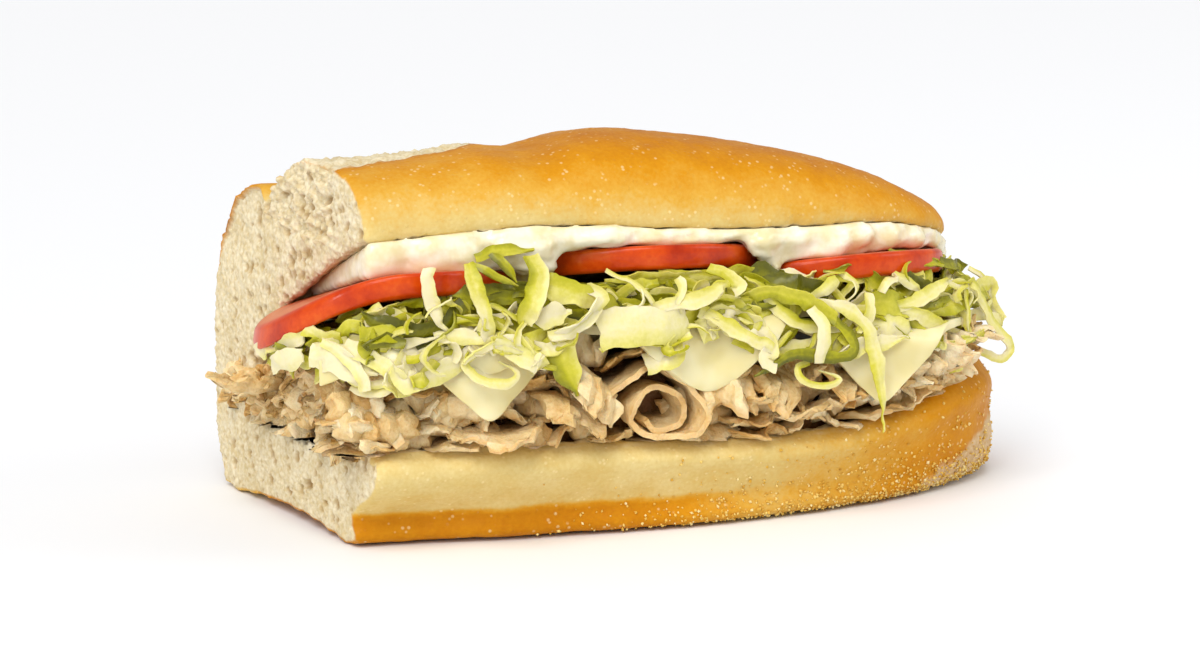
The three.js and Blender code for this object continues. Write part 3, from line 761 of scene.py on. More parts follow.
@dataclass(frozen=True)
class WhiteCheese(Finish):
    """Mild white sliced cheese: smooth, faintly waxy, pale yellow where it is thick."""

    name: str = "white_cheese"

    def surface(self, nodes: Nodes) -> dict[str, Any]:
        """Gives an even cream with a soft sheen."""
        cloud = nodes.grain(11.0, 2)
        colour = nodes.blend(nodes.band(cloud, 0.35, 0.68), "#E0D294", "#EFE5B6")
        return {
            "Base Color": colour,
            "Roughness": 0.36,
            "Normal": nodes.relief(nodes.grain(2.2, 3), 0.18, 0.35),
            "IOR": 1.45,
            **self.wet(0.15, 0.25),
            **self.soft(0.35, 2.5, (1.0, 0.8, 0.4)),
        }


@dataclass(frozen=True)
class ShavedPoultry(Finish):
    """Cooked, shaved white meat: moist and fibrous, tan at its roasted edges, painted brown as shade in its
    gaps.
    """

    name: str = "shaved_poultry"

    def surface(self, nodes: Nodes) -> dict[str, Any]:
        """Tints each slice by its tone, mottles it with fibres and paints shade brown where deep is high."""
        tone = nodes.reading("tone")
        blotch = nodes.grain(2.6, 4)
        fibre = nodes.grain(0.8, 4)
        mixed = nodes.sum_of((tone, 0.75), (blotch, 0.6), (fibre, 0.4), (1.0, -0.36))
        colour = nodes.ramp(
            mixed,
            (0.0, "#A06E2C"), (0.25, "#CE9F55"), (0.5, "#E4C386"), (0.75, "#EFD7A6"), (1.0, "#F7E8C4"),
        )  # fmt: skip
        colour = nodes.blend(nodes.sum_of((nodes.reading("roasted"), 0.75)), colour, "#E2B064")
        # painted shade: deep darkens the slices' roots and the hidden core to a shadow brown
        colour = nodes.blend(nodes.reading("deep"), colour, "#683A12")
        return {
            "Base Color": colour,
            "Roughness": nodes.sum_of((fibre, 0.3), (1.0, 0.34)),
            "Normal": nodes.relief(nodes.sum_of((fibre, 0.7), (blotch, 1.0)), 0.8, 0.7),
            "IOR": 1.42,
            **self.wet(0.12, 0.3),
            **self.soft(0.18, 1.5, (1.0, 0.55, 0.3)),
        }


@dataclass(frozen=True)
class CrispLettuce(Finish):
    """Shredded crisp lettuce: watery, thin leaf, from white rib through yellow to deep green edge."""

    name: str = "crisp_lettuce"

    def surface(self, nodes: Nodes) -> dict[str, Any]:
        """Colours each shred from rib to leaf edge, with faint veins."""
        tone = nodes.reading("tone")
        vein = nodes.grain(1.0, 3)
        blotch = nodes.grain(5.0, 2)
        mixed = nodes.sum_of((tone, 1.0), (vein, 0.22), (blotch, 0.22), (1.0, -0.22))
        colour = nodes.ramp(
            mixed, (0.0, "#ECE0B2"), (0.22, "#E2D884"), (0.42, "#CAC23C"),
            (0.6, "#AEAA10"), (0.8, "#807E06"), (1.0, "#565602"),
        )  # fmt: skip
        return {
            "Base Color": colour,
            "Roughness": nodes.sum_of((vein, 0.2), (1.0, 0.34)),
            "Normal": nodes.relief(nodes.sum_of((vein, 0.8), (blotch, 0.6)), 0.3, 0.45),
            "IOR": 1.4,
            **self.wet(0.15, 0.2),
            **self.soft(0.3, 1.6, (1.0, 0.95, 0.3)),
        }


def hand_over(
    piece: Object, material: bpy.types.Material, slot: str, *replaced: str, crisp_deg: float | None = None
) -> None:
    """Dresses a finished piece and puts it in place of the solids it stands for.

    Args:
        piece: the finished mesh.
        material: its finish.
        slot: the name of the group that the finish belongs to, such as bread; not used.
        replaced: the nodes that it stands for.
        crisp_deg: the turn between faces from which an edge stays crisp, or None for none.
    """
    piece.data.materials.clear()
    piece.data.materials.append(material)
    pick(piece)
    if crisp_deg is None:
        bpy.ops.object.shade_smooth()
    else:
        bpy.ops.object.shade_smooth_by_angle(angle=math.radians(crisp_deg))
    deselect()
    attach(piece, "root")
    if replaced:
        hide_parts(*replaced)
    LOG.info("%s: %d vertices, %d faces", piece.name, len(piece.data.vertices), len(piece.data.polygons))


@dataclass
class Roll:
    """The hinge-cut half loaf: browned crust, a slit with its crumb, and the knife's cut face."""

    voxel_mm: float = 1.15
    crust_mm: float = 0.7
    pore_count: int = 520
    arch_mm: float = 2.4
    # Where the burst top's crust ends, as its y along the roll
    tear_y: Along = Along(
        (-90, -24), (-72, -22.5), (-66, -19.5), (-60, -17), (-48, -16),
        (-42, -12), (-36, -4), (-30, 6), (-24, 14),
    )  # fmt: skip
    finish: Finish = BakedBread()
    # Large holes on the cut face: y, z, half width, half height, lean in degrees, depth, which also sets
    # painted shade
    holes: tuple[tuple[float, float, float, float, float, float], ...] = (
        (11.6, 71.7, 1.7, 2.1, 10, 1.6),
        (3.3, 75.8, 2.2, 1.0, 0, 0.8),
        (19.0, 68.3, 1.3, 2.3, 10, 1.2),
        (15.6, 64.9, 1.1, 2.2, 8, 1.1),
        (-19.5, 76.9, 2.2, 1.1, -38, 1.7),
        (-18.8, 72.0, 1.0, 2.1, -12, 1.4),
        (-2.7, 62.2, 1.0, 1.0, 0, 0.9),
        (-7.6, 9.6, 2.6, 1.5, -28, 1.8),
        (-4.4, 6.9, 1.1, 2.0, -15, 2.0),
        (-10.6, 77.9, 1.1, 0.8, 0, 0.8),
        (-27.5, 76.2, 0.8, 0.9, 0, 0.8),
        (-5.7, 73.0, 0.9, 1.0, 0, 0.8),
        (31.2, 46.3, 0.9, 1.1, 0, 0.8),
        (-27.5, 17.4, 1.1, 0.9, 20, 0.9),
        (-16.8, 7.0, 1.2, 0.8, 0, 0.8),
        (2.0, 66.5, 1.3, 0.9, 25, 0.8),
    )

    def mouth_rings(self) -> Array:
        """The slit that a knife opened from the front, with the fillings' room."""
        rings = []
        for x in np.linspace(LOAF.start_x - 6, LOAF.heel_tip_x + 8, 70):
            back = LOAF.wall_y(x)
            lip, brow = LOAF.lip_z(x), LOAF.brow_z(x)
            outline = [
                (-70, lip),
                (back - 7, lip),
                (back - 1, lip + 5),
                (back, lip + 16),
                (back - 1.5, LOAF.ceiling_z(x, back) - 8),
                (back - 7, LOAF.ceiling_z(x, back - 7) - 1),
                (LOAF.flap_front_y(x), brow - 0.9),
                (-70, brow - 0.9),
            ]
            rings.append([(x, y, z) for y, z in outline])
        return np.array(rings, float)

    def bed_rings(self) -> Array:
        """The hollow pressed into the lower crumb, inside the lip."""
        rings = []
        for x in np.linspace(LOAF.start_x - 6, LOAF.heel_tip_x - 9, 60):
            front = (LOAF.lip_out_y(x) + 9) * LOAF.taper(x, LOAF.heel_tip_x - 5, 2.4)
            back = min(LOAF.wall_back_y - 5, -front)
            lip, bed = LOAF.lip_z(x), LOAF.bed_z(x)
            outline = [
                (front - 2.5, lip + 1),
                (front, lip - 1.4),
                (front + 4, bed),
                (back - 4, bed),
                (back, lip + 1),
            ]
            rings.append([(x, y, z) for y, z in outline])
        return np.array(rings, float)

    def knife_block(self) -> Object:
        """A block that holds all that lies beyond the knife cut."""
        size = 200.0
        deselect()
        bpy.ops.mesh.primitive_cube_add(size=size * MM)
        block = bpy.context.active_object
        angle = math.radians(LOAF.cut_slant_deg)
        inward = np.array([math.cos(angle), math.sin(angle), 0.0])
        middle = np.array([LOAF.cut_x, LOAF.cut_y, 0.0]) - size / 2 * inward
        block.location = (middle - LOAF_MIDDLE) * MM
        block.rotation_euler = (0, 0, angle)
        bpy.ops.object.transform_apply(location=True, rotation=True, scale=True)
        return block

    def build(self) -> Object:
        """Carves the half loaf out of the whole one and works its surfaces.

        Returns:
            The finished roll.
        """
        rings = rounded(LOAF.rings(), 4)
        rings[..., 2] = np.maximum(rings[..., 2], LOAF.base_z(rings[..., 0]))
        roll = loft("split_roll", rings)
        faces = [list(face.vertices) for face in roll.data.polygons]
        whole = BVHTree.FromPolygons(rings.reshape(-1, 3).tolist(), faces)
        cutters = [loft("mouth", self.mouth_rings()), loft("bed", self.bed_rings()), self.knife_block()]
        for cutter in cutters:
            apply_modifier(roll, "BOOLEAN", operation="DIFFERENCE", solver="MANIFOLD", object=cutter)
            bpy.data.objects.remove(cutter)
        apply_modifier(roll, "REMESH", mode="VOXEL", voxel_size=self.voxel_mm * MM)
        apply_modifier(roll, "SMOOTH", factor=0.5, iterations=5)
        self.refine_cut_face(roll)
        self.work_surface(roll, whole)
        return roll

    def refine_cut_face(self, roll: Object) -> None:
        """Divides the faces of the knife's cut, so that its pores are real relief."""
        faces = roll.data.polygons
        centres = np.empty(len(faces) * 3, np.float32)
        faces.foreach_get("center", centres)
        centres = centres.reshape(-1, 3).astype(float) / MM + LOAF_MIDDLE
        near = LOAF.past_cut(centres) < 0.9
        pick(roll)
        bpy.ops.object.mode_set(mode="EDIT")
        bpy.ops.mesh.select_mode(type="FACE")
        bpy.ops.mesh.select_all(action="DESELECT")
        bpy.ops.object.mode_set(mode="OBJECT")
        faces.foreach_set("select", near)
        bpy.ops.object.mode_set(mode="EDIT")
        bpy.ops.mesh.subdivide(number_cuts=2)
        bpy.ops.object.mode_set(mode="OBJECT")

    def pores(self, y: Array, z: Array) -> tuple[Array, Array]:
        """Depth and painted shade of the crumb's holes at places on the cut face.

        Args:
            y: places across the loaf.
            z: heights.

        Returns:
            The depth in millimetres, and the share of shade from 0 to 1.
        """
        random = np.random.default_rng(31)
        holes = list(self.holes)
        for _ in range(self.pore_count):
            wide = 0.35 + 0.95 * random.random() ** 2.2
            tall = wide * random.uniform(0.7, 1.9)
            at_y, at_z, lean = random.uniform(-44, 45), random.uniform(1, 86), random.uniform(-40, 40)
            holes.append((at_y, at_z, wide, tall, lean, wide * 0.75))
        depth = np.zeros_like(y)
        shade = np.zeros_like(y)
        for at_y, at_z, wide, tall, lean, deep in holes:
            angle = math.radians(lean)
            dy, dz = y - at_y, z - at_z
            a = (dy * math.cos(angle) + dz * math.sin(angle)) / wide
            b = (dz * math.cos(angle) - dy * math.sin(angle)) / tall
            inside = 1 - smoothstep(np.sqrt(a * a + b * b), 0.45, 1.15)
            depth = np.maximum(depth, deep * inside)
            shade = np.maximum(shade, inside * min(1.0, 0.3 + deep * 0.6))
        return depth, shade

    def bake(self, points: Array) -> Array:
        """How brown the crust is at each point, from 0 to 1."""
        x, y, z = points.T
        brow, crown, lip = LOAF.brow_z(x), LOAF.crown_z(x), LOAF.lip_z(x)
        right = smoothstep(x, -25, 70)
        rise = np.clip((z - brow + 1.5) / (crown - brow + 1.5), 0, 1)
        middle = smoothstep(x, -65, -5)
        upper = 0.07 + 0.50 * rise + middle * (0.08 + 0.12 * rise)
        upper += 0.12 * smoothstep(x, 0, 60) * (1 - rise)
        lower = 0.12 + 0.30 * smoothstep(x, 5, 60) + 0.08 * np.clip((lip - z) / lip, 0, 1)
        uneven = rough(points * np.array([0.5, 1, 1]), 6.0, 2, 11.0)
        lower += 0.24 * smoothstep(x, 40, 80)
        tray = smoothstep(LOAF.crease_z + 1.2 + 0.7 * uneven - z, 0, 2.0)
        lower = lerp(lower, 0.74, tray * (1 - 0.85 * smoothstep(x, -15, 30)))
        burst = smoothstep(y - self.tear_y(x), -3.5, -0.3) * (1 - smoothstep(x, -30, -20))
        upper = upper + 0.16 * (burst * smoothstep(z, 70, 76))
        front = np.where(z > (lip + brow) / 2, upper, lower)
        scorch = np.exp(-(((z - 62) / 7) ** 2) - ((x + 90) / 14) ** 2) * (0.8 + 0.5 * uneven)
        back = 0.34 + 0.34 * smoothstep(z, 30, 78) + 0.1 * right + 0.3 * scorch + 0.06 * uneven
        return lerp(front, back, smoothstep(y, 12, 26))

    def torn(self, points: Array) -> Array:
        """1 where the crust is torn off, along the top beside the cut, and less where the heel is rubbed."""
        x, y, z = points.T
        ragged = 0.6 * rough(points * np.array([1, 0.3, 0.3]), 4.0, 3, 7.0)
        after = smoothstep(y - self.tear_y(x) + ragged, 0, 0.9)
        before = 1 - smoothstep(y + 1.5 * ragged, 11.5, 13.5)
        top = after * before * smoothstep(z, 66, 68) * (1 - smoothstep(x, -24, -18))
        patchy = rough(points, 5.0, 3, 3.0)
        rubbed = smoothstep(4.0 + 0.5 * (x - 64) + 2.0 * patchy - z, 0, 1.6) * smoothstep(x, 63, 67)
        rubbed = rubbed * (1 - smoothstep(y + 5.0 * patchy, -13, -7))
        return np.maximum(top, 0.6 * rubbed)

    def work_surface(self, roll: Object, whole: BVHTree) -> None:
        """Moves the vertices into crumb, crust and tears, and stores what the finish reads."""
        points, normals = points_of(roll), normals_of(roll)
        x, y, z = points.T
        depth = np.array([whole.find_nearest(p)[3] for p in points.tolist()])
        cut = 1 - smoothstep(LOAF.past_cut(points), 0.5, 1.4)
        torn = self.torn(points)
        inside = smoothstep(depth, self.crust_mm * 0.7, self.crust_mm * 1.5)
        inside = inside * (1 - smoothstep(x, 74, 78) * smoothstep(LOAF.lip_z(x) - z, 1.0, 3.0))
        crumb = np.maximum(inside, torn * (1 - inside))
        pore_depth, pore_shade = self.pores(y, z)
        on_face = cut * inside
        wide_lumps = rough(points, 9.0, 2)
        lumps = rough(points, 2.6, 3, 3.0)
        grit = rough(points, 1.1, 3, 9.0)
        push = (1 - crumb) * (0.30 * wide_lumps + 0.12 * lumps)
        push -= on_face * pore_depth
        push += on_face * (0.42 * grit + 0.25 * lumps)
        push += inside * (1 - cut) * 0.7 * lumps
        push += torn * (1.1 * lumps + 0.5 * grit - 0.3)
        push -= on_face * 1.3 * smoothstep(y, 14.0, 17.5) * smoothstep(z, 52, 62)
        points += normals * push[:, None]
        arch = np.sin(np.clip((y + 27) / 60, 0, 1) * math.pi) ** 0.8
        near_cut = 1 - smoothstep(LOAF.past_cut(points), 0, 22)
        points[:, 2] += self.arch_mm * arch * near_cut * (1 - smoothstep(z, 1, 12))
        points[:, 2] = np.maximum(points[:, 2], 0.0)
        move_points(roll, points)
        paint(roll, "crumb", crumb)
        paint(roll, "bake", self.bake(points))
        # painted shade: darkens the cut face's holes and the low crumb lumps inside the slit
        inner_shade = inside * (1 - cut) * smoothstep(-lumps, 0.1, 0.8)
        paint(roll, "painted_hollow_shade", pore_shade * on_face * 0.95 + inner_shade * 0.4)


@dataclass
class TraySweepings:
    """Maize grit from the baking tray, stuck to the lower crust towards the heel."""

    count: int = 1500
    finish: Finish = MealGrain()

    def build(self, roll: Object) -> Object:
        """Sets grains on the roll's lower side.

        Args:
            roll: the finished roll that they stick to.

        Returns:
            All the grains, as one mesh.
        """
        random = np.random.default_rng(17)
        points, normals = points_of(roll), normals_of(roll)
        x, y, z = points.T
        front = (y < 2) * (z > 1.0) * (z < LOAF.lip_z(x) - 2) * (normals[:, 1] < -0.15)
        by_height = 0.04 + np.exp(-((z / 6.5) ** 2)) + 0.25 * smoothstep(x, 20, 60) * np.exp(-((z / 12) ** 2))
        chance = smoothstep(x, -42, 35) * front * by_height
        chance[LOAF.past_cut(points) < 3] = 0
        chosen = random.choice(len(points), self.count, p=chance / chance.sum())
        corners = np.array([(1, 0, 0), (-1, 0, 0), (0, 1, 0), (0, -1, 0), (0, 0, 1), (0, 0, -1)], float)
        sides = ((0, 2, 4), (2, 1, 4), (1, 3, 4), (3, 0, 4), (2, 0, 5), (1, 2, 5), (3, 1, 5), (0, 3, 5))
        places, faces, tones = [], [], []
        for k, i in enumerate(chosen):
            size = random.uniform(0.22, 0.62)
            size = size * np.array([1.0, random.uniform(0.6, 1.0), random.uniform(0.5, 0.9)])
            turn, _ = np.linalg.qr(random.normal(size=(3, 3)))
            spot = points[i] + random.uniform(-0.5, 0.5, 3) * (1 - np.abs(normals[i])) + normals[i] * 0.12
            places.append(spot + (corners * size * random.uniform(0.8, 1.2, (6, 1))) @ turn)
            faces.extend([tuple(6 * k + c for c in side) for side in sides])
            tones.append(np.full(6, random.beta(2.0, 1.6)))
        flat = np.concatenate(places)
        flat[:, 2] = np.maximum(flat[:, 2], 0.0)
        grains = mesh_object("tray_grit", flat, np.zeros((0, 4), int), faces)
        paint(grains, "tone", np.concatenate(tones))
        face_out(grains)
        return grains


@dataclass
class Mayonnaise:
    """The thick smear on the flap's underside, bulging at the front and round the heel."""

    start_x: float = -74.0
    end_x: float = 79.0
    stations: int = 190
    voxel_mm: float = 0.9
    smoothings: int = 14
    settles_mm: float = 5.0
    # Where it bulges down between the tomato slices, how far, and over what width
    dips_x: tuple[float, ...] = (-33, 21)
    dip_mm: float = 4.8
    dip_width: float = 4.5
    finish: Finish = WhippedEggDressing()

    def tomato_top(self, x: Any, y: Any) -> Array:
        """Height of the tomato slices' tops, or far below where there is none."""
        best = np.full(np.broadcast(x, y).shape, -100.0)
        for slice_ in TOMATOES:
            ahead = np.maximum(y - slice_.y, 0) + 0.62 * np.minimum(y - slice_.y, 0)
            over = (x - slice_.x) ** 2 + ahead**2 < (LAYERS.tomato_radius + 0.3) ** 2
            best = np.where(over, np.maximum(best, slice_.low_z(x, y) + LAYERS.tomato_thick), best)
        return best

    def low_z(self, x: float, y: float) -> float:
        """Height of its underside, which settles on the tomato slices wherever they are near."""
        low, top = float(LAYERS.mayo_low_z(x, y)), float(self.tomato_top(x, y)) + 0.1
        if low - top < self.settles_mm:
            low = top
        if any(math.hypot(x - slice_.x, y - slice_.y) < LAYERS.tomato_radius + 0.8 for slice_ in TOMATOES):
            return low
        return low - self.dip_mm * sum(math.exp(-(((x - dip) / self.dip_width) ** 2)) for dip in self.dips_x)

    def build(self) -> Object:
        """Lays rings along the flap: flat against it, round at the front, lumpy below."""
        rings = []
        for x in np.linspace(self.start_x, self.end_x, self.stations):
            front, back = float(LAYERS.mayo_front_y(x)), float(LAYERS.mayo_back_y(x))
            top = [(y, float(LOAF.ceiling_z(x, y)) - 0.1) for y in np.linspace(back, front + 1.0, 8)]
            low_front = self.low_z(x, front + 2)
            high = top[-1][1]
            middle, half = (high + 1.0 + low_front) / 2, (high + 1.0 - low_front) / 2
            bulge = 1.5 + 0.7 * math.sin(x * 0.33 + 1) + 0.5 * math.sin(x * 0.71)
            nose = [
                (front + 1.0 - (bulge + 1.0) * math.cos(a) ** 0.8, middle - half * math.sin(a))
                for a in np.linspace(-1.35, 1.35, 11)
            ]
            under = []
            for y in np.linspace(front + 1.5, back, 12)[1:-1]:
                under.append((y, min(self.low_z(x, y), float(LOAF.ceiling_z(x, y)) - 0.6)))
            rings.append([(x, y, z) for y, z in top + nose + under])
        smear = loft("mayonnaise_smear", np.array(rings))
        apply_modifier(smear, "REMESH", mode="VOXEL", voxel_size=self.voxel_mm * MM)
        apply_modifier(smear, "SMOOTH", factor=0.5, iterations=self.smoothings)
        points, normals = points_of(smear), normals_of(smear)
        lean = points @ np.array([[1.0, 0, 0], [0, 1, 0], [-0.35, 0, 1]])
        push = 1.5 * rough(lean * np.array([0.35, 1, 1]), 5.5, 2, 4.0)
        push += 0.6 * rough(lean * np.array([0.4, 1, 1.3]), 2.6, 2, 1.0)
        below = smoothstep(-normals[:, 1] - normals[:, 2], -0.4, 0.3)
        thin = 0.1 + 0.9 * smoothstep(points[:, 0], -70, -42)
        points += normals * (push * thin * (0.3 + 0.7 * below))[:, None]
        move_points(smear, points)
        return smear


@dataclass
class TomatoSlice:
    """One round slice of tomato with a bevelled skin rim."""

    node: str
    x: float
    y: float
    front_z: float
    lean: float
    tilt: float = 0.0
    sag: float = 0.0
    droop: float = 0.0
    droop_from_x: float = -67.0
    bevel: float = 1.3

    def low_z(self, x: Any, y: Any) -> Any:
        """Height of the slice's underside."""
        past = np.maximum(0, self.droop_from_x - x)
        offset = x - self.x
        bend = self.tilt * offset - self.sag * offset**2 - self.droop * past**2
        return self.front_z - self.lean * (y - self.y + LAYERS.tomato_radius) + bend

    def build(self, lifted_over: "TomatoSlice | None" = None) -> Object:
        """Shapes a disc and lays it on the lettuce.

        Args:
            lifted_over: the slice that this one's edge rests on, if any.

        Returns:
            The finished slice.
        """
        radius, thick = LAYERS.tomato_radius, LAYERS.tomato_thick
        round_off = [
            (radius - self.bevel * (1 - math.sin(a)), thick / 2 - self.bevel * (1 - math.cos(a)))
            for a in np.linspace(0, math.pi / 2, 6)
        ]
        upper = [(r, thick / 2) for r in (2, 6, 10, 13, 16, 19, 22, 24.5, 26.4)] + round_off
        profile = np.array(upper + [(radius + 0.25, 0.0)] + [(r, -z) for r, z in reversed(upper)])
        turn = np.linspace(0, 2 * math.pi, 144, endpoint=False)
        out, up = profile[:, 0, None], profile[:, 1, None]
        local = np.stack([out * np.cos(turn), out * np.sin(turn), up + 0 * turn], axis=-1)
        disc = loft(self.node.replace("slice", "round"), local)
        local = local.reshape(-1, 3)
        points = local + np.array([self.x, self.y, 0])
        ring = np.hypot(local[:, 0], local[:, 1])
        angle = np.arctan2(local[:, 1], local[:, 0])
        wobble = 0.35 * np.sin(3 * angle + self.x) + 0.2 * np.sin(7 * angle)
        points[:, :2] += local[:, :2] / radius * wobble[:, None]
        points[:, 2] = self.low_z(points[:, 0], points[:, 1]) + thick / 2 + local[:, 2]
        if lifted_over is not None:
            over = np.hypot(points[:, 0] - lifted_over.x, points[:, 1] - lifted_over.y) < radius + 0.3
            floor = lifted_over.low_z(points[:, 0], points[:, 1]) + thick + 0.3
            points[:, 2] = np.where(over & (local[:, 2] < 0), np.maximum(points[:, 2], floor), points[:, 2])
        move_points(disc, points)
        rim = smoothstep(ring, radius - 1.6, radius - 1.0)
        chamber = smoothstep(np.sin(angle * 5 + self.x), 0.1, 0.5)
        paint(disc, "skin", rim)
        paint(disc, "chamber", chamber * smoothstep(ring, 8, 11) * (1 - smoothstep(ring, 20, 23)))
        return disc


TOMATOES = (
    TomatoSlice("tomato_slice_1", -62.5, -15.5, 58.6, 0.26, droop=0.013),
    TomatoSlice("tomato_slice_2", -3, -15.5, 61.1, LAYERS.slope, tilt=-0.03, sag=0.0012),
    TomatoSlice("tomato_slice_3", 45, -15, 56, LAYERS.slope, tilt=0.02, sag=0.0012),
)


class Lay(Enum):
    """How a square slice of cheese lies over the meat's edge."""

    CORNER = "corner"
    EDGE = "edge"


@dataclass
class CheeseSlice:
    """A square slice of cheese draped over the front of the meat."""

    node: str
    lay: Lay
    x: float
    side: float
    hang: float
    level: float
    soft: float = 2.0
    depth: float = 50.0
    bend: float = 5.0
    grid_steps: int = 44

    def drape(self, x: Array, hang: Array, q: Array) -> Array:
        """Places on the slice: down over the meat's edge, round it and back over the top.

        Args:
            x: places along the loaf.
            hang: how much hangs below the bend.
            q: distance from the hanging end.

        Returns:
            (…, xyz) places in millimetres.
        """
        over = q - hang
        y_low = LAYERS.front_y - 3.2 - self.level * 0.5
        z_low = LAYERS.meat_top_z(x, LAYERS.front_y) + self.level + LAYERS.cheese_thick - self.bend * 0.6
        angle = np.clip(over / self.bend, 0, math.pi / 2)
        flat = np.maximum(0, over - self.bend * math.pi / 2)
        y = y_low + self.bend * (1 - np.cos(angle)) + flat
        rise = LAYERS.meat_top_z(x, y) - LAYERS.meat_top_z(x, LAYERS.front_y)
        z = np.where(over < 0, z_low + over, z_low + self.bend * np.sin(angle) + rise)
        return np.stack([x + 0 * y, y, z], axis=-1)

    def build(self) -> Object:
        """Lays a grid over the meat and gives it its thickness."""
        deselect()
        steps = self.grid_steps
        bpy.ops.mesh.primitive_grid_add(x_subdivisions=steps, y_subdivisions=steps, size=1.0)
        sheet = bpy.context.active_object
        sheet.name = sheet.data.name = self.node.replace("slice", "sheet")
        co = np.empty(len(sheet.data.vertices) * 3, np.float32)
        sheet.data.vertices.foreach_get("co", co)
        u, v = co.reshape(-1, 3)[:, :2].astype(float).T + 0.5
        if self.lay is Lay.CORNER:
            along, across = (u + v) * self.side / math.sqrt(2), (u - v) * self.side / math.sqrt(2)
            points = self.drape(self.x + across, np.full_like(u, self.hang), np.hypot(along, self.soft))
        else:
            x = self.x + self.side * (u - 0.5)
            points = self.drape(x, 1.5 + 1.2 * np.sin(x * 0.35), self.depth * v)
            points[:, 1] += 0.8 * np.maximum(0, -71 - x)
            points[:, 2] -= 0.015 * np.maximum(0, LOAF.cut_x_at(-20.0) + 2 - x) ** 2
        hanging = smoothstep(-points[:, 1], 41, 46)
        waves = 1.0 * np.sin(points[:, 0] * 0.24 + self.x) + 1.4 * rough(points, 11.0, 2, self.x)
        points[:, 1] -= hanging * waves
        points[:, 2] += 0.3 * rough(points, 6.0, 2, 5.0)
        move_points(sheet, points)
        face_up(sheet)
        apply_modifier(sheet, "SOLIDIFY", thickness=LAYERS.cheese_thick * MM, offset=0.0)
        crisp = math.radians(CRISP_DEG)
        apply_modifier(sheet, "BEVEL", width=0.55 * MM, segments=3, limit_method="ANGLE", angle_limit=crisp)
        return sheet


def face_up(sheet: Object) -> None:
    """Turns an open sheet's faces so that most of them look up."""
    normals = normals_of(sheet)
    if normals[:, 2].sum() < 0:
        edit_all(sheet, bpy.ops.mesh.flip_normals)


CHEESES = (
    CheeseSlice("cheese_slice_1", Lay.EDGE, -63, 43, 0, LAYERS.cheese_step),
    CheeseSlice("cheese_slice_2", Lay.CORNER, -49, 50, 12.5, 0),
    CheeseSlice("cheese_slice_3", Lay.CORNER, 3.5, 50, 16.5, LAYERS.cheese_step, 6.0),
    CheeseSlice("cheese_slice_4", Lay.CORNER, 46, 43, 13, 0),
)


class Fold(Enum):
    """How far the free edge of a shaved slice of meat is turned, in radians."""

    LEVEL = 0.25
    DROOPING = -1.25
    DOUBLED = 2.9


@dataclass(frozen=True)
class Cut:
    """A slice of meat: where it leaves the heap, which way it sticks out and its size.

    up is the way its upper face looks and turn the radians that its free edge is bent up. A tone is 0
    for dark meat to 1 for pale, crush is how crumpled it is and grid its points along and across it.
    """

    start: Triple
    out: Triple | Array
    up: Triple
    reach: float
    width: float
    turn: float
    tone: float
    thick: float = 1.2
    crush: float = 1.0
    grid: tuple[int, int] = (14, 16)


